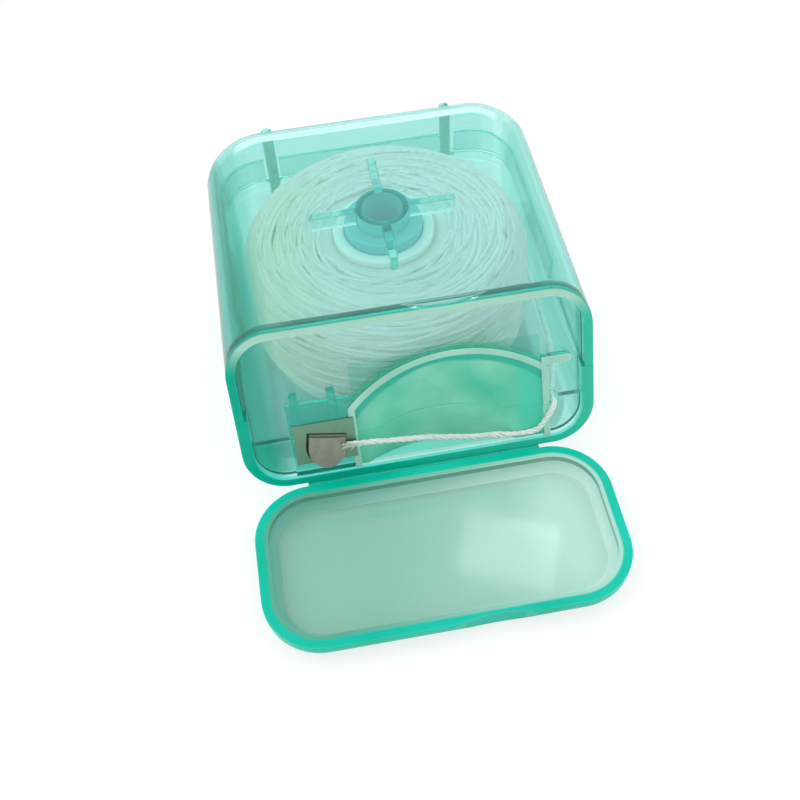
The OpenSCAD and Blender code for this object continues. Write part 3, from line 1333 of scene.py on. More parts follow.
@dataclass(frozen=True)
class MouldedPieces:
    """Shells, hinge and lid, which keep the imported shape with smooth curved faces."""

    finishes: Finishes
    sharp_angle: float = math.radians(28.0)
    merge: float = 1e-6
    even_weight: int = 90
    thin: float = 0.03 * MM
    hub_r: float = 5.75 * MM
    hub_z: Range = (1.75 * MM, 22.5 * MM)
    ring_r: float = 3.85 * MM
    ring_z: Range = (21.5 * MM, 24.66 * MM)
    arch_x: float = 5.3 * MM
    arch_h: float = 16.4 * MM
    scoop_r: float = 19.0 * MM
    scoop_x: Range = (-8.65 * MM, 17.65 * MM)
    scoop_foot: Point = (3.0 * MM, -40.65 * MM, 4.2 * MM)
    scoop_lean: float = math.radians(9.0)
    scoop_near: float = 0.12 * MM
    arch_inset: float = 0.02 * MM
    recess_depth: float = 1.1 * MM
    ledge_x: Range = (-9.6 * MM, 22.0 * MM)
    ledge_z: float = 3.3 * MM
    ledge_depth: float = 0.4 * MM
    rib_y: float = 26.27 * MM
    lid_rim: float = 1.5 * MM
    lid_wall: float = 4.2 * MM
    lid_wall_tilt: Range = (0.03, 0.985)
    lid_edge: float = 2.5 * MM
    lid_edge_tilt: Range = (-0.9995, 0.0)

    def build(self, nodes: Mapping[str, bpy.types.Object]) -> None:
        """Builds each moulded piece from its node.

        Args:
            nodes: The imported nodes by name.
        """
        case = (self.finishes.shell, Body.CASE, Slot.SHELL, self._dress_case)
        web = (self.finishes.lid, Body.CASE, Slot.LID, None)
        lid = (self.finishes.lid, Body.LID, Slot.LID, self._dress_lid)
        for node, name, (material, body, slot, dress) in (
            ("lower_shell", "shell_below", case),
            ("upper_shell", "shell_above", case),
            ("living_hinge", "hinge_web", web),
            ("flip_lid", "lid_dish", lid),
        ):
            mesh = self._smooth_copy(nodes[node], name)
            piece = add_piece(name, mesh, material, body, [node])
            even = piece.modifiers.new("even_normals", "WEIGHTED_NORMAL")
            even.keep_sharp = True
            even.weight = self.even_weight
            if dress:
                dress(mesh)

    def _dress_case(self, mesh: bpy.types.Mesh) -> None:
        """Gives a shell's hub, scoop, ledge, ribs and rim their deeper plastic.

        Args:
            mesh: The shell's mesh.
        """
        kinds = (
            (self.finishes.hub, self._in_hub),
            (self.finishes.scoop, self._in_scoop),
            (self.finishes.ledge, self._on_ledge),
            (self.finishes.rib, self._on_rib),
            (self.finishes.rim, self._on_rim),
        )
        for finish, _ in kinds:
            mesh.materials.append(finish)
        for face in mesh.polygons:
            for number, (_, belongs) in enumerate(kinds, start=1):
                if belongs(face.center):
                    face.material_index = number
                    break

    def _in_hub(self, centre: Vector) -> bool:
        """Tells whether a face is on the spindle or on the ring over it.

        Args:
            centre: The face's middle.

        Returns:
            Whether it is.
        """
        radius = math.hypot(centre.x, centre.y - BOBBIN_AXIS_Y)
        hung = self.ring_z[0] < centre.z < self.ring_z[1] and radius < self.ring_r
        return hung or self.hub_z[0] < centre.z < self.hub_z[1] and radius < self.hub_r

    def _in_scoop(self, centre: Vector) -> bool:
        """Tells whether a face is on the finger scoop, within its arch.

        Args:
            centre: The face's middle.

        Returns:
            Whether it is.
        """
        middle = Vector((self.arch_x, self.arch_h - self.scoop_r))
        seen = Vector((centre.x, MOUTH.height(centre)))
        arched = (seen - middle).length < self.scoop_r - self.arch_inset
        if not (arched and self.scoop_x[0] < centre.x < self.scoop_x[1]):
            return False
        axis = Vector((0.0, math.sin(self.scoop_lean), math.cos(self.scoop_lean)))
        out = centre - Vector(self.scoop_foot)
        radius = (out - axis * out.dot(axis)).length
        hollow = abs(radius - self.scoop_r) < self.scoop_near
        return hollow or abs(MOUTH.depth(centre) - self.recess_depth) < self.thin

    def _on_ledge(self, centre: Vector) -> bool:
        """Tells whether a face is on the front of the scoop's frame.

        Args:
            centre: The face's middle.

        Returns:
            Whether it is.
        """
        left, right = self.ledge_x
        framed = left < centre.x < right and centre.z > self.ledge_z
        return framed and abs(MOUTH.depth(centre) - self.ledge_depth) < self.thin

    def _on_rim(self, centre: Vector) -> bool:
        """Tells whether a face is on the flat land round the mouth."""
        return MOUTH.depth(centre) < self.thin

    def _on_rib(self, centre: Vector) -> bool:
        """Tells whether a face stands out behind the case's back."""
        return centre.y > self.rib_y

    def _dress_lid(self, mesh: bpy.types.Mesh) -> None:
        """Gives the lid's raised rim and its outer edge their deeper plastic.

        Args:
            mesh: The lid's mesh.
        """
        mesh.materials.append(self.finishes.lid_rim)
        steep, flat = self.lid_wall_tilt
        low, high = self.lid_edge_tilt
        for face in mesh.polygons:
            depth, tilt = LID_PLAN.depth(face.center), face.normal.z
            walled = depth < self.lid_wall and steep < tilt < flat
            under = depth < self.lid_edge and low < tilt < high
            if depth < self.lid_rim or walled or under:
                face.material_index = 1

    def _smooth_copy(self, node: bpy.types.Object, name: str) -> bpy.types.Mesh:
        """Copies a node's mesh, merges it and shades it smooth between sharp edges.

        Args:
            node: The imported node.
            name: The copy's name.

        Returns:
            The copy.
        """
        mesh = node.data.copy()
        mesh.name = name
        mesh.transform(node.matrix_world)
        for layer in ("custom_normal", "sharp_edge", "sharp_face"):
            stale = mesh.attributes.get(layer)
            if stale:
                mesh.attributes.remove(stale)
        form = bmesh.new()
        form.from_mesh(mesh)
        bmesh.ops.remove_doubles(form, verts=form.verts, dist=self.merge)
        form.to_mesh(mesh)
        form.free()
        mesh.shade_smooth()
        mesh.set_sharp_from_angle(angle=self.sharp_angle)
        return mesh


class ThreadSweep(SharedGroup):
    """Round thread swept along a curve, with attributes that its finish reads."""

    NAME = "thread_sweep"
    NODE = "GeometryNodeGroup"
    TREE = "GeometryNodeTree"
    ALONG: ClassVar[str] = "along"
    AROUND: ClassVar[str] = "around"

    @classmethod
    def _build(cls, tree: bpy.types.NodeTree) -> None:
        """Takes a curve, a diameter and a number of sides, and puts out the thread.

        Args:
            tree: The group's empty tree.
        """
        add_socket(tree, "INPUT", "Curve", "Geometry")
        add_socket(tree, "INPUT", "Diameter")
        add_socket(tree, "INPUT", "Sides", "Int")
        add_socket(tree, "OUTPUT", "Thread", "Geometry")
        graph = Graph(tree)
        given = graph.add("NodeGroupInput").outputs
        ring = graph.add(
            "GeometryNodeCurvePrimitiveCircle",
            {
                "Resolution": given["Sides"],
                "Radius": graph.math("MULTIPLY", given["Diameter"], 0.5),
            },
            mode="RADIUS",
        )
        line, section = (
            graph.add(
                "GeometryNodeStoreNamedAttribute",
                {
                    "Geometry": curve,
                    "Name": name,
                    "Value": graph.add("GeometryNodeSplineParameter").outputs[measure],
                },
                data_type="FLOAT",
                domain="POINT",
            ).outputs[0]
            for curve, name, measure in (
                (given["Curve"], cls.ALONG, "Length"),
                (ring.outputs["Curve"], cls.AROUND, "Factor"),
            )
        )
        swept = graph.add(
            "GeometryNodeCurveToMesh",
            {"Curve": line, "Profile Curve": section, "Fill Caps": True},
        )
        smooth = graph.add(
            "GeometryNodeSetShadeSmooth", {"Geometry": swept.outputs[0]}
        )
        graph.add("NodeGroupOutput", {"Thread": smooth.outputs[0]})


class GrownPiece:
    """A mesh grown by a geometry node tree with named inputs."""

    def __init__(self, name: str) -> None:
        """Starts an empty tree with a geometry in and a geometry out.

        Args:
            name: The name of the tree and of the mesh that it grows.
        """
        self.name = name
        self.tree = bpy.data.node_groups.new(name, "GeometryNodeTree")
        for side in ("INPUT", "OUTPUT"):
            add_socket(self.tree, side, "Geometry", "Geometry")
        self.graph = Graph(self.tree)
        self.values: dict[str, float | int] = {}

    def number(self, name: str, value: float | int) -> None:
        """Adds a named input that holds a size or a count.

        Args:
            name: The input's name.
            value: A whole number for a count, or a size in metres.
        """
        kind = "Int" if isinstance(value, int) else "Float"
        socket = add_socket(self.tree, "INPUT", name, kind)
        self.values[socket.identifier] = value

    def grow(
        self,
        body: Callable[[Graph, bpy.types.Node], bpy.types.NodeSocket],
        material: bpy.types.Material,
        seed: bpy.types.Mesh | None = None,
    ) -> bpy.types.Mesh:
        """Builds the tree, runs it and gives its plain mesh.

        Args:
            body: Adds the tree's own nodes, from its inputs to a geometry.
            material: The finish that the tree sets.
            seed: The mesh that goes in, if the tree needs one.

        Returns:
            The grown mesh, with no modifier left.
        """
        given = self.graph.add("NodeGroupInput")
        shape = body(self.graph, given)
        real = self.graph.add("GeometryNodeRealizeInstances", {"Geometry": shape})
        dressed = self.graph.add(
            "GeometryNodeSetMaterial",
            {"Geometry": real.outputs[0], "Material": material},
        )
        self.graph.add("NodeGroupOutput", {"Geometry": dressed.outputs[0]})
        start = seed or bpy.data.meshes.new(self.name + "_start")
        holder = bpy.data.objects.new(self.name + "_grower", start)
        bpy.context.scene.collection.objects.link(holder)
        modifier = holder.modifiers.new("grow", "NODES")
        modifier.node_group = self.tree
        for identifier, value in self.values.items():
            modifier[identifier] = value
        bpy.context.view_layer.update()
        seen = holder.evaluated_get(bpy.context.evaluated_depsgraph_get())
        mesh = bpy.data.meshes.new_from_object(seen)
        mesh.name = self.name
        holder.modifiers.remove(modifier)
        bpy.data.objects.remove(holder)
        return mesh


@dataclass(frozen=True)
class Bobbin:
    """Wound bobbin: its core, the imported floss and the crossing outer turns."""

    finishes: Finishes
    outer_r: float = 21.0 * MM
    core_r: float = 7.35 * MM
    bore_r: float = 5.71 * MM
    foot_z: float = 1.9 * MM
    foot_round: float = 0.3 * MM
    core_top: float = 20.9 * MM
    lip_round: float = 0.4 * MM
    floss_lift: float = 0.4 * MM
    floss_gap: float = 0.05 * MM
    floss_round: float = 2.5 * MM
    round_steps: int = 12
    winding_top: float = 20.75 * MM
    winding_low: float = 3.4 * MM
    winding_in: float = 0.7 * MM
    shoulder: float = 4.6 * MM
    thread_d: float = 0.72 * MM
    thread_sides: int = 6
    covered: float = 1.2
    sunk: float = 0.75
    turns: int = 120
    traverses: float = 49.3
    steps_a_turn: int = 60
    wander: float = 0.1
    wander_rate: float = 160.0
    sink_rate: float = 260.0
    sink_start: float = 40.0

    def build(self) -> None:
        """Builds the three pieces."""
        self._core()
        self._package()
        self._winding()

    def _core(self) -> None:
        """Builds the core tube with rounded lips."""
        profile = rounded_profile(
            [
                (self.core_r, self.foot_z, self.foot_round),
                (self.core_r, self.core_top, self.lip_round),
                (self.bore_r, self.core_top, self.lip_round),
                (self.bore_r, self.foot_z, self.foot_round),
            ]
        )
        mesh = lathe("bobbin_tube", profile, BOBBIN_AXIS_Y)
        add_piece(
            "bobbin_tube",
            mesh,
            self.finishes.core,
            Body.BOBBIN,
            ["bobbin_core"],
        )

    def _package(self) -> None:
        """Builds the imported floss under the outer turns."""
        inset = self.thread_d * self.covered
        low, top = self.foot_z + self.floss_lift, self.winding_top - inset
        inner, outer = self.core_r + self.floss_gap, self.outer_r - inset
        profile = rounded_profile(
            [
                (inner, low, 0.0),
                (outer, low, self.floss_round),
                (outer, top, self.shoulder),
                (inner, top, 0.0),
            ],
            self.round_steps,
        )
        mesh = lathe("packed_floss", profile, BOBBIN_AXIS_Y)
        add_piece(
            "packed_floss",
            mesh,
            self.finishes.floss,
            Body.BOBBIN,
            ["floss_package"],
        )

    def _winding(self) -> None:
        """Winds the outer turns: one thread that climbs and falls as it goes round."""
        piece = GrownPiece("outer_turns")
        half = self.thread_d * 0.5
        bend = self.shoulder - half
        side_z = self.foot_z + self.winding_low
        side = self.winding_top - half - bend - side_z
        run = self.outer_r - half - bend - self.core_r - self.winding_in
        for name, value in (
            ("Turns", self.turns),
            ("Steps", self.steps_a_turn),
            ("Traverses", self.traverses),
            ("Thread", self.thread_d),
            ("Radius", self.outer_r - half),
            ("Foot", side_z),
            ("Side", side),
            ("Bend", bend),
            ("Run", run),
            ("Axis", BOBBIN_AXIS_Y),
            ("Sink", self.thread_d * self.sunk),
        ):
            piece.number(name, value)
        mesh = piece.grow(self._winding_nodes, self.finishes.floss)
        add_piece(
            "outer_turns",
            mesh,
            self.finishes.floss,
            Body.BOBBIN,
            ["floss_winding"],
        )

    def _winding_nodes(
        self, graph: Graph, given: bpy.types.Node
    ) -> bpy.types.NodeSocket:
        """Adds the winding's law and gives the thread.

        Args:
            graph: The tree's graph.
            given: The tree's input node.

        Returns:
            The socket of the swept thread.
        """
        size = given.outputs
        count = graph.math("MULTIPLY", size["Turns"], size["Steps"])
        line = graph.add("GeometryNodeMeshLine", {"Count": count})
        index = graph.add("GeometryNodeInputIndex").outputs[0]
        whole = graph.math("DIVIDE", index, count)
        angle = graph.math(
            "MULTIPLY", graph.math("DIVIDE", index, size["Steps"]), math.tau
        )
        wander = graph.noise_along(whole, self.wander_rate, 0.0, 1.0)
        sink = graph.noise_along(whole, self.sink_rate, self.sink_start, 0.0)
        swing = graph.math(
            "PINGPONG", graph.math("MULTIPLY", whole, size["Traverses"]), 1.0
        )
        shifted = graph.math(
            "ADD",
            graph.math("MULTIPLY", swing, 1.0 - self.wander),
            graph.math("MULTIPLY", wander, self.wander),
        )
        arc = graph.math("MULTIPLY", size["Bend"], math.pi / 2.0)
        length = graph.math(
            "ADD", graph.math("ADD", size["Side"], arc), size["Run"]
        )
        reach = graph.math("MULTIPLY", shifted, length)
        up = graph.math("MINIMUM", reach, size["Side"])
        past = graph.math("SUBTRACT", reach, size["Side"])
        turned = graph.math("DIVIDE", past, size["Bend"])
        tilt = graph.math(
            "MINIMUM", graph.math("MAXIMUM", turned, 0.0), math.pi / 2.0
        )
        inward = graph.math("MAXIMUM", graph.math("SUBTRACT", past, arc), 0.0)
        lower = graph.math(
            "MULTIPLY", graph.between(sink, *NOISE_SPAN), size["Sink"]
        )
        cosine, sine = graph.math("COSINE", tilt), graph.math("SINE", tilt)
        centre_r = graph.math("SUBTRACT", size["Radius"], size["Bend"])
        arm = graph.math("SUBTRACT", size["Bend"], lower)
        radius = graph.math(
            "SUBTRACT",
            graph.math("MULTIPLY_ADD", arm, cosine, centre_r),
            inward,
        )
        height = graph.math(
            "ADD",
            graph.math("MULTIPLY_ADD", arm, sine, size["Foot"]),
            up,
        )
        place = graph.add(
            "ShaderNodeCombineXYZ",
            {
                "X": graph.math("MULTIPLY", radius, graph.math("COSINE", angle)),
                "Y": graph.math(
                    "MULTIPLY_ADD", radius, graph.math("SINE", angle), size["Axis"]
                ),
                "Z": height,
            },
        )
        laid = graph.add(
            "GeometryNodeSetPosition",
            {"Geometry": line.outputs[0], "Position": place.outputs[0]},
        )
        curve = graph.add("GeometryNodeMeshToCurve", {"Mesh": laid.outputs[0]})
        return ThreadSweep.place(
            graph,
            curve=curve.outputs[0],
            diameter=size["Thread"],
            sides=self.thread_sides,
        ).outputs[0]


@dataclass(frozen=True)
class DrawnStrand:
    """The strand that runs from the bobbin, out of the mouth and to the cutter."""

    finishes: Finishes
    diameter: float = 0.85 * MM
    plies: int = 3
    ply_d: float = 0.47 * MM
    lay: float = 3.1 * MM
    ply_sides: int = 8
    ply_step: float = 0.16 * MM
    slack_rate: float = 420.0
    slack: Range = (0.75, 1.1)
    knot_x: float = 11.1 * MM
    knot_under: float = 6.0 * MM
    knot_len: float = 0.8 * MM
    knot_spread: float = 0.8
    knot_swell: float = 0.5
    drift: float = 0.14 * MM
    drift_from: Range = (26.0 * MM, 31.0 * MM)
    drift_rate: float = 260.0
    drift_starts: tuple[float, float] = (7.0, 90.0)
    fibres: int = 22
    fibre_d: float = 0.1 * MM
    fibre_sides: int = 5
    fibre_bends: int = 6
    fibre_from: Range = (0.6, 2.4)
    fibre_reach: Range = (0.9, 1.9)
    fibre_rise: Range = (-0.55, 0.75)
    fibre_lift: Range = (0.15, 0.5)
    fibre_out: float = 0.2
    fibre_sway: float = 0.15 * MM
    fibre_seed: int = 31
    route_steps: int = 8
    route: tuple[Point, ...] = (
        (21.8, 28.7, 7.6), (21.8, 26.0, 7.6), (21.8, 21.0, 7.6), (21.6, 16.0, 7.6),
        (21.0, 11.0, 7.6), (20.2, 7.5, 7.7), (19.6, 5.9, 7.8), (19.3, 4.7, 8.2),
        (19.3, 3.2, 8.7), (19.2, 2.5, 9.0), (18.9, 2.0, 8.8), (18.3, 1.6, 7.8),
        (17.6, 1.3, 6.7), (17.0, 1.1, 5.7), (16.3, 1.1, 4.9), (15.0, 1.2, 4.6),
        (12.5, 1.4, 4.75), (10.0, 1.45, 5.15), (7.0, 1.4, 5.7), (4.0, 1.5, 6.3),
        (0.7, 1.6, 7.0), (-3.0, 1.6, 7.5), (-6.0, 1.6, 7.9), (-8.5, 1.6, 8.2),
        (-10.3, 1.6, 8.4),
    )  # fmt: skip

    def build(self) -> None:
        path = self._path()
        seed = bpy.data.meshes.new("strand_route")
        seed.from_pydata(
            [tuple(p) for p in path], [(i, i + 1) for i in range(len(path) - 1)], []
        )
        piece = GrownPiece("drawn_strand")
        piece.number("Ply", self.ply_d)
        piece.number("Spread", (self.diameter - self.ply_d) / 2.0)
        piece.number("Lay", self.lay)
        piece.number("Knot", self._knot_place(path))
        piece.number("Drift", self.drift)
        mesh = piece.grow(self._ply_nodes, self.finishes.strand, seed)
        strand = add_piece(
            "drawn_strand",
            mesh,
            self.finishes.strand,
            Body.CASE,
            ["floss_strand"],
        )
        frays = self._frays(path[-1])

    def _knot_place(self, path: Sequence[Vector]) -> float:
        """Finds the thick place in the thread.

        Args:
            path: The strand's path.

        Returns:
            The distance along the path to that place, in metres.
        """
        gone, best, place = 0.0, 1.0, 0.0
        for a, b in zip(path, path[1:]):
            gone += (b - a).length
            off = abs(b.x - self.knot_x)
            if b.z < self.knot_under and off < best:
                best, place = off, gone
        return place

    def _frays(self, end: Vector) -> bpy.types.Object:
        """Builds the loose fibres at the strand's end, beside the tongue.

        Args:
            end: The strand's end.

        Returns:
            The piece.
        """
        chance = random.Random(self.fibre_seed)
        points: list[Point] = []
        edges: list[tuple[int, int]] = []
        out = MOUTH.step(0.0, 0.0, 1.0)
        for _ in range(self.fibres):
            start = end + Vector((chance.uniform(*self.fibre_from), 0.0, 0.0)) * MM
            reach = chance.uniform(*self.fibre_reach) * MM
            rise = chance.uniform(*self.fibre_rise)
            lift = chance.uniform(*self.fibre_lift)
            for k in range(self.fibre_bends + 1):
                t = k / self.fibre_bends
                step = Vector((-1.0, 0.0, rise * t)) * reach * t
                place = start + step + out * (self.fibre_out + lift * t) * MM
                place.x += self.fibre_sway * math.sin(6.0 * t + rise * 9.0) * t
                if k:
                    edges.append((len(points) - 1, len(points)))
                points.append(tuple(place))
        seed = bpy.data.meshes.new("fray_lines")
        seed.from_pydata(points, edges, [])
        piece = GrownPiece("frayed_end")
        piece.number("Fibre", self.fibre_d)
        mesh = piece.grow(self._fibre_nodes, self.finishes.strand, seed)
        return add_piece(
            "frayed_end", mesh, self.finishes.strand, Body.CASE
        )

    def _fibre_nodes(self, graph: Graph, given: bpy.types.Node) -> bpy.types.NodeSocket:
        """Adds the fibres, each a thin thread along its line.

        Args:
            graph: The tree's graph.
            given: The tree's input node.

        Returns:
            The socket of the swept fibres.
        """
        size = given.outputs
        curve = graph.add("GeometryNodeMeshToCurve", {"Mesh": size["Geometry"]})
        return ThreadSweep.place(
            graph,
            curve=curve.outputs[0],
            diameter=size["Fibre"],
            sides=self.fibre_sides,
        ).outputs[0]

    def _path(self) -> list[Vector]:
        """Lays a smooth line through the route.

        Returns:
            The line's points in the row frame.
        """
        sill = MOUTH.hinge_y / MM
        knots = [Vector((x, y + sill, z)) * MM for x, y, z in self.route]
        ends = [knots[0] * 2 - knots[1], *knots, knots[-1] * 2 - knots[-2]]
        out: list[Vector] = []
        for a, b, c, d in zip(ends, ends[1:], ends[2:], ends[3:]):
            for k in range(self.route_steps):
                t = k / self.route_steps
                out.append(
                    0.5
                    * (
                        2 * b
                        + (c - a) * t
                        + (2 * a - 5 * b + 4 * c - d) * t * t
                        + (3 * b - a - 3 * c + d) * t**3
                    )
                )
        return [*out, knots[-1]]

    def _ply_nodes(self, graph: Graph, given: bpy.types.Node) -> bpy.types.NodeSocket:
        """Adds the plies, each a thread that winds round the route.

        Args:
            graph: The tree's graph.
            given: The tree's input node.

        Returns:
            The socket of the joined plies.
        """
        size = given.outputs
        curve = graph.add("GeometryNodeMeshToCurve", {"Mesh": size["Geometry"]})
        even = graph.add(
            "GeometryNodeResampleCurve",
            {"Curve": curve.outputs[0], "Length": self.ply_step},
            mode="LENGTH",
        )
        along = graph.add("GeometryNodeSplineParameter").outputs["Length"]
        tangent = graph.add("GeometryNodeInputTangent").outputs[0]
        normal = graph.add("GeometryNodeInputNormal").outputs[0]
        side = graph.add(
            "ShaderNodeVectorMath", {0: tangent, 1: normal}, operation="CROSS_PRODUCT"
        ).outputs[0]
        off = graph.math(
            "DIVIDE", graph.math("SUBTRACT", along, size["Knot"]), self.knot_len
        )
        knot = graph.math(
            "EXPONENT", graph.math("MULTIPLY", graph.math("MULTIPLY", off, off), -1.0)
        )
        wound = graph.math("MULTIPLY_ADD", knot, self.knot_spread, 1.0)
        loose = graph.noise_along(along, self.slack_rate, 0.0, 1.0)
        spread = graph.math(
            "MULTIPLY",
            graph.math("MULTIPLY", size["Spread"], wound),
            graph.between(loose, *NOISE_SPAN, *self.slack),
        )
        free = graph.math(
            "MULTIPLY", graph.between(along, *self.drift_from), size["Drift"]
        )
        noises = [
            graph.noise_along(along, self.drift_rate, start, 1.0)
            for start in self.drift_starts
        ]
        sways = [
            graph.math("MULTIPLY", graph.math("MULTIPLY_ADD", noise, 2.0, -1.0), free)
            for noise in noises
        ]
        thick = graph.add(
            "GeometryNodeSetCurveRadius",
            {
                "Curve": even.outputs[0],
                "Radius": graph.math("MULTIPLY_ADD", knot, self.knot_swell, 1.0),
            },
        )
        turns = graph.math("DIVIDE", along, size["Lay"])
        joined = graph.add("GeometryNodeJoinGeometry")
        for ply in range(self.plies):
            turn = graph.math(
                "MULTIPLY_ADD", turns, math.tau, math.tau * ply / self.plies
            )
            parts = [
                graph.add(
                    "ShaderNodeVectorMath",
                    {0: way, "Scale": graph.math("MULTIPLY_ADD", wave, spread, sway)},
                    operation="SCALE",
                ).outputs[0]
                for way, wave, sway in (
                    (normal, graph.math("COSINE", turn), sways[0]),
                    (side, graph.math("SINE", turn), sways[1]),
                )
            ]
            offset = graph.add(
                "ShaderNodeVectorMath", {0: parts[0], 1: parts[1]}, operation="ADD"
            )
            moved = graph.add(
                "GeometryNodeSetPosition",
                {"Geometry": thick.outputs[0], "Offset": offset.outputs[0]},
            )
            thread = ThreadSweep.place(
                graph,
                curve=moved.outputs[0],
                diameter=size["Ply"],
                sides=self.ply_sides,
            )
            graph.feed(joined.inputs[0], thread.outputs[0])
        return joined.outputs[0]


@dataclass(frozen=True)
class Cutter:
    """Steel cutter: a flat plate with a tongue that stands out of its hole."""

    finishes: Finishes
    left: float = -17.5 * MM
    right: float = -9.0 * MM
    foot: float = 3.0 * MM
    top: float = 9.4 * MM
    face: float = -0.25 * MM
    thickness: float = 0.35 * MM
    sharp_angle: float = math.radians(30.0)
    root: tuple[float, float] = (-12.75 * MM, 7.4 * MM)
    tongue_w: float = 5.1 * MM
    tongue_len: float = 4.75 * MM
    turn: float = math.radians(-10.0)
    bend: float = math.radians(21.0)
    dome: float = 0.25 * MM
    tongue_sharp: float = math.radians(40.0)
    root_len: float = 0.6 * MM
    root_rows: int = 12
    tongue_rows: int = 18
    columns: int = 16
    fold: Point = (0.12 * MM, 0.1 * MM, 0.24 * MM)
    crease: Point = (0.42 * MM, 0.09 * MM, -0.16 * MM)
    hole_gap: float = 0.2 * MM
    hole_shift: float = -0.12 * MM
    hole_sill: float = 0.4 * MM
    hole_steps: int = 24
    # Place and thickness of the dark sheet that stands for the hole's shadow.
    shadow_sheet_out: float = 0.04 * MM
    shadow_sheet_thickness: float = 0.05 * MM
    merge: float = 1e-6

    def build(self) -> None:
        """Builds the plate, the tongue and a dark sheet at the back of the hole, a
        painted shadow.
        """
        finishes = self.finishes
        for name, mesh, finish, replaced in (
            ("cutter_sheet", self._plate(), finishes.steel, ["cutter_plate"]),
            ("cutter_tongue", self._tongue(), finishes.tongue, []),
            ("cutter_shadow_sheet", self._hole_shadow_sheet(), finishes.cut_edge, []),
        ):
            add_piece(name, mesh, finish, Body.CASE, replaced)

    def _in_plate(self, across: float, down: float) -> tuple[float, float]:
        """Turns a point of the tongue into the plate's plane.

        Args:
            across: Distance to the right of the tongue's middle.
            down: Distance below its root.

        Returns:
            The point's place across the mouth and up along it.
        """
        sine, cosine = math.sin(self.turn), math.cos(self.turn)
        return (
            self.root[0] + across * cosine + down * sine,
            self.root[1] + across * sine - down * cosine,
        )

    def _half_width(self, down: float, grow: float = 0.0) -> float:
        """Gives the tongue's half width.

        Args:
            down: The distance below its root.
            grow: How far past the tongue's outline.

        Returns:
            The half width, in metres.
        """
        radius = self.tongue_w / 2.0
        past = max(0.0, down - (self.tongue_len - radius))
        return math.sqrt(max(0.0, (radius + grow) ** 2 - past**2))

    def _hole(self) -> list[tuple[float, float]]:
        """Draws the hole that the tongue was cut from.

        Returns:
            The outline's points in the plate's plane.
        """
        reach = self.tongue_len + self.hole_gap
        side = [(self._half_width(0.0, self.hole_gap), self.hole_shift)]
        for k in range(1, self.hole_steps + 1):
            down = reach * math.sin(math.pi / 2.0 * k / self.hole_steps)
            side.append((self._half_width(down, self.hole_gap), down))
        outline = [self._in_plate(self.hole_shift - w, d) for w, d in side]
        outline += [
            self._in_plate(self.hole_shift + w, d) for w, d in reversed(side[:-1])
        ]
        return [(x, max(self.foot + self.hole_sill, h)) for x, h in outline]

    def _plate(self) -> bpy.types.Mesh:
        """Builds the flat plate with its hole.

        Returns:
            The plate's mesh.
        """
        form = bmesh.new()
        corners = [
            (self.left, self.foot),
            (self.right, self.foot),
            (self.right, self.top),
            (self.left, self.top),
        ]
        for loop in (corners, self._hole()):
            verts = [
                form.verts.new(MOUTH.point(x, h, self.face - self.thickness))
                for x, h in loop
            ]
            for a, b in zip(verts, [*verts[1:], verts[0]]):
                form.edges.new((a, b))
        bmesh.ops.remove_doubles(form, verts=form.verts, dist=self.merge)
        bmesh.ops.triangle_fill(form, use_beauty=True, edges=form.edges)
        self._raise(form, self.thickness)
        mesh = self._finished(form, "cutter_sheet")
        mesh.shade_smooth()
        mesh.set_sharp_from_angle(angle=self.sharp_angle)
        return mesh

    def _hole_shadow_sheet(self) -> bpy.types.Mesh:
        """Builds a dark sheet that closes the tongue's hole at the plate's rear face,
        as painted shadow.

        Returns:
            The dark sheet's mesh.
        """
        form = bmesh.new()
        rear = self.face - self.thickness + self.shadow_sheet_out
        verts = [form.verts.new(MOUTH.point(x, h, rear)) for x, h in self._hole()]
        bmesh.ops.remove_doubles(form, verts=verts, dist=self.merge)
        form.faces.new(list(form.verts))
        self._raise(form, self.shadow_sheet_thickness)
        bmesh.ops.triangulate(form, faces=form.faces)
        return self._finished(form, "cutter_shadow_sheet")

    @staticmethod
    def _raise(form: bmesh.types.BMesh, thickness: float) -> None:
        """Gives a flat sheet its thickness, out of the mouth's plane.

        Args:
            form: The sheet.
            thickness: Its thickness.
        """
        raised = bmesh.ops.extrude_face_region(form, geom=list(form.faces))["geom"]
        bmesh.ops.translate(
            form,
            verts=[part for part in raised if isinstance(part, bmesh.types.BMVert)],
            vec=MOUTH.step(0.0, 0.0, thickness),
        )

    @staticmethod
    def _finished(form: bmesh.types.BMesh, name: str) -> bpy.types.Mesh:
        """Points a form's faces outwards and makes it a mesh.

        Args:
            form: The form, which is freed.
            name: The mesh's name.

        Returns:
            The mesh.
        """
        bmesh.ops.recalc_face_normals(form, faces=form.faces)
        mesh = bpy.data.meshes.new(name)
        form.to_mesh(mesh)
        form.free()
        return mesh

    def _swell(self, across: float, down: float) -> float:
        """Gives how far the tongue's face stands out.

        Args:
            across: From -1 at its left edge to 1 at its right edge.
            down: The distance below its root.

        Returns:
            The distance in front of the mouth's plane.
        """
        out = self.face + down * math.sin(self.bend)
        out += self.dome * (1 - across * across) * math.sin(
            math.pi * down / self.tongue_len
        )
        for place, width, height in (self.fold, self.crease):
            out += height * math.exp(-(((down - place) / width) ** 2))
        return out

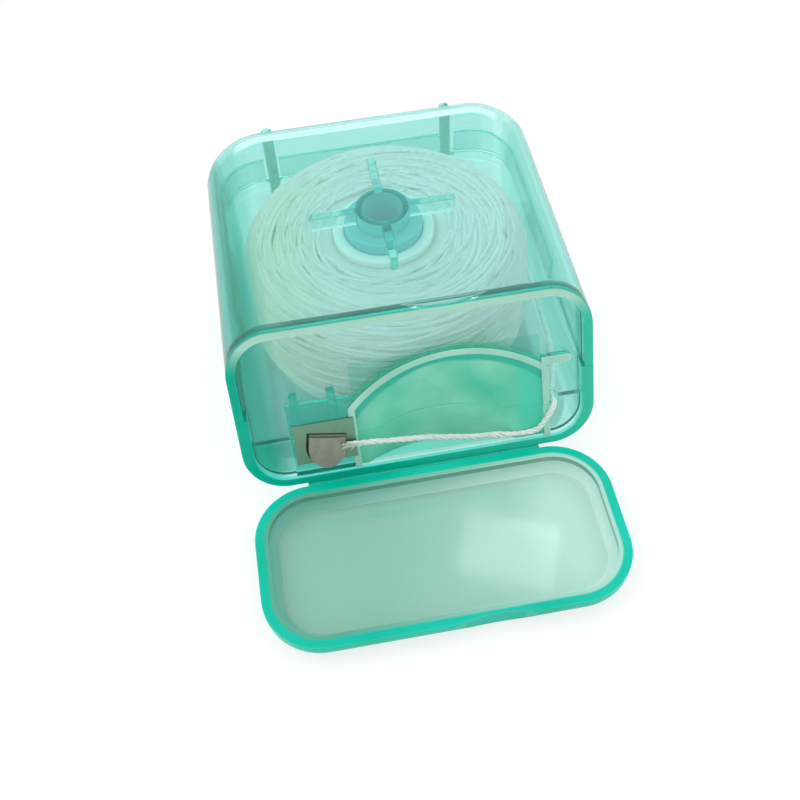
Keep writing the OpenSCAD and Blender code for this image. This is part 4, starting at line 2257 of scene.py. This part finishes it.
    def _tongue(self) -> bpy.types.Mesh:
        """Builds the domed tongue as a closed sheet, with a crease under its root.

        Returns:
            The tongue's mesh.
        """
        rest = self.tongue_len - self.root_len
        downs = [self.root_len * k / self.root_rows for k in range(self.root_rows + 1)]
        downs += [
            self.root_len + rest * math.sin(math.pi / 2.0 * k / self.tongue_rows)
            for k in range(1, self.tongue_rows + 1)
        ]
        points: list[Vector] = []
        for sunk in (0.0, self.thickness):
            for down in downs:
                half = self._half_width(down)
                for k in range(self.columns + 1):
                    across = 2.0 * k / self.columns - 1.0
                    x, h = self._in_plate(across * half, down * math.cos(self.bend))
                    points.append(MOUTH.point(x, h, self._swell(across, down) - sunk))
        rows, wide = len(downs) - 1, self.columns + 1
        layer = wide * (rows + 1)
        faces: list[tuple[int, ...]] = []
        for i in range(rows):
            for k in range(self.columns):
                a = i * wide + k
                faces.append((a, a + 1, a + wide + 1, a + wide))
                b = a + layer
                faces.append((b, b + wide, b + wide + 1, b + 1))
        border = list(range(self.columns))
        border += [i * wide + self.columns for i in range(rows)]
        border += [rows * wide + k for k in range(self.columns, 0, -1)]
        border += [i * wide for i in range(rows, 0, -1)]
        for a, b in zip(border, [*border[1:], border[0]]):
            faces.append((a, a + layer, b + layer, b))
        mesh = mesh_from("cutter_tongue", points, faces)
        mesh.set_sharp_from_angle(angle=self.tongue_sharp)
        return mesh


@dataclass(frozen=True)
class Studio:
    """Floor, lights and the photograph's camera."""

    target: Point = (-2.23 * MM, -21.8 * MM, 12.66 * MM)
    azimuth: float = -0.111
    elevation: float = 0.917
    roll: float = -0.074
    distance: float = 150.4 * MM
    lens: float = 49.5
    sensor: float = 36.0
    clip: Range = (0.01, 10.0)
    daylight: float = 0.74
    paint: Colour = (0.82, 0.83, 0.83)
    shadowed: Colour = (0.33, 0.33, 0.33)
    shadow_lift: float = 0.71
    shadow_r: Range = (72.0 * MM, 120.0 * MM)
    floor_half: float = 1.5
    floor_z: float = -0.02 * MM

    def build(self) -> None:
        """Builds the whole stage."""
        bpy.context.scene.view_settings.view_transform = "Standard"
        self._camera()
        self._world()
        self._floor()
        for name, place, size, power in (
            ("window_left", (-0.42, 0.12, 0.46), (0.4, 0.3), 1.0),
            ("window_right", (0.36, 0.1, 0.46), (0.3, 0.34), 0.5),
            ("window_front", (0.1, -0.5, 0.4), (0.3, 0.12), 0.15),
            ("window_back", (0.05, 0.6, 0.28), (0.5, 0.2), 0.6),
            ("ceiling_panel", (0.072, 0.172, 0.391), (0.052, 0.034), 0.016),
        ):
            self._lamp(name, Vector(place), size, power)

    def _camera(self) -> None:
        """Sets the camera at the photograph's viewing angle."""
        back = Vector(
            (
                math.sin(self.azimuth) * math.cos(self.elevation),
                -math.cos(self.azimuth) * math.cos(self.elevation),
                math.sin(self.elevation),
            )
        )
        look = -back
        right = look.cross(Vector((0.0, 0.0, 1.0))).normalized()
        up = right.cross(look)
        sine, cosine = math.sin(self.roll), math.cos(self.roll)
        across = right * cosine + up * sine
        over = up * cosine - right * sine
        turned = Matrix((across, over, back)).transposed()
        data = bpy.data.cameras.new("photo_camera")
        data.sensor_width = self.sensor
        data.lens = self.lens
        data.clip_start, data.clip_end = self.clip
        camera = bpy.data.objects.new("photo_camera", data)
        camera.matrix_world = Matrix.Translation(
            Vector(self.target) + back * self.distance
        ) @ turned.to_4x4()
        bpy.context.scene.collection.objects.link(camera)
        bpy.context.scene.camera = camera

    def _world(self) -> None:
        """Lights the object from all round and shows white behind it."""
        world = bpy.data.worlds.new("daylight")
        bpy.context.scene.world = world
        world.use_nodes = True
        graph = Graph(world.node_tree)
        sky, white = (
            graph.add("ShaderNodeBackground", {"Color": rgba(WHITE), "Strength": level})
            for level in (self.daylight, 1.0)
        )
        both = graph.mix(self._shown(graph), sky, white)
        graph.add("ShaderNodeOutputWorld", {"Surface": both.outputs[0]})

    @staticmethod
    def _shown(graph: Graph) -> bpy.types.NodeSocket:
        """Marks the rays that show a background to the eye.

        Args:
            graph: The graph of the background's tree.

        Returns:
            The mask's socket, 1 on those rays.
        """
        rays = graph.add("ShaderNodeLightPath").outputs
        mirrored = graph.math(
            "MAXIMUM", rays["Is Glossy Ray"], rays["Is Transmission Ray"]
        )
        return graph.math("MAXIMUM", rays["Is Camera Ray"], mirrored)

    def _floor(self) -> None:
        """Lays a pale floor that keeps a soft shadow."""
        material, graph = new_material("pale_floor")
        paint, shadowed = (
            graph.add("ShaderNodeBsdfDiffuse", {"Color": rgba(colour)})
            for colour in (self.paint, self.shadowed)
        )
        lifted, white = (
            graph.add("ShaderNodeEmission", {"Color": rgba(WHITE), "Strength": level})
            for level in (self.shadow_lift, 1.0)
        )
        near = graph.add(
            "ShaderNodeAddShader", {0: shadowed.outputs[0], 1: lifted.outputs[0]}
        )
        reach = graph.add(
            "ShaderNodeVectorMath",
            {0: graph.place(), 1: self.target},
            operation="DISTANCE",
        ).outputs["Value"]
        seen = graph.mix(graph.between(reach, *self.shadow_r), near, white)
        both = graph.mix(self._shown(graph), paint, seen)
        graph.add("ShaderNodeOutputMaterial", {"Surface": both.outputs[0]})
        half = self.floor_half
        mesh = bpy.data.meshes.new("floor")
        mesh.from_pydata(
            [(-half, -half, 0), (half, -half, 0), (half, half, 0), (-half, half, 0)],
            [],
            [(0, 1, 2, 3)],
        )
        mesh.materials.append(material)
        floor = bpy.data.objects.new("floor", mesh)
        floor.location.z = self.floor_z
        bpy.context.scene.collection.objects.link(floor)

    @staticmethod
    def _lamp(
        name: str, place: Vector, size: tuple[float, float], power: float
    ) -> None:
        """Hangs a soft window light that faces the dispenser.

        Args:
            name: The lamp's name.
            place: Where it hangs.
            size: Its two sides.
            power: Its power, in watts.
        """
        data = bpy.data.lights.new(name, "AREA")
        data.shape = "RECTANGLE"
        data.size, data.size_y = size
        data.energy = power
        lamp = bpy.data.objects.new(name, data)
        lamp.location = place
        lamp.rotation_mode = "QUATERNION"
        lamp.rotation_quaternion = place.to_track_quat("Z", "Y")
        bpy.context.scene.collection.objects.link(lamp)


def main() -> None:
    """Builds the stage and every piece, in order."""
    logging.basicConfig(level=logging.INFO, format="%(message)s")
    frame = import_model()
    Studio().build()
    finishes = Finishes.make()
    DrawnStrand(finishes).build()
    MouldedPieces(finishes).build(frame["nodes"])
    Bobbin(finishes).build()
    Cutter(finishes).build()


if __name__ == "__main__":
    main()
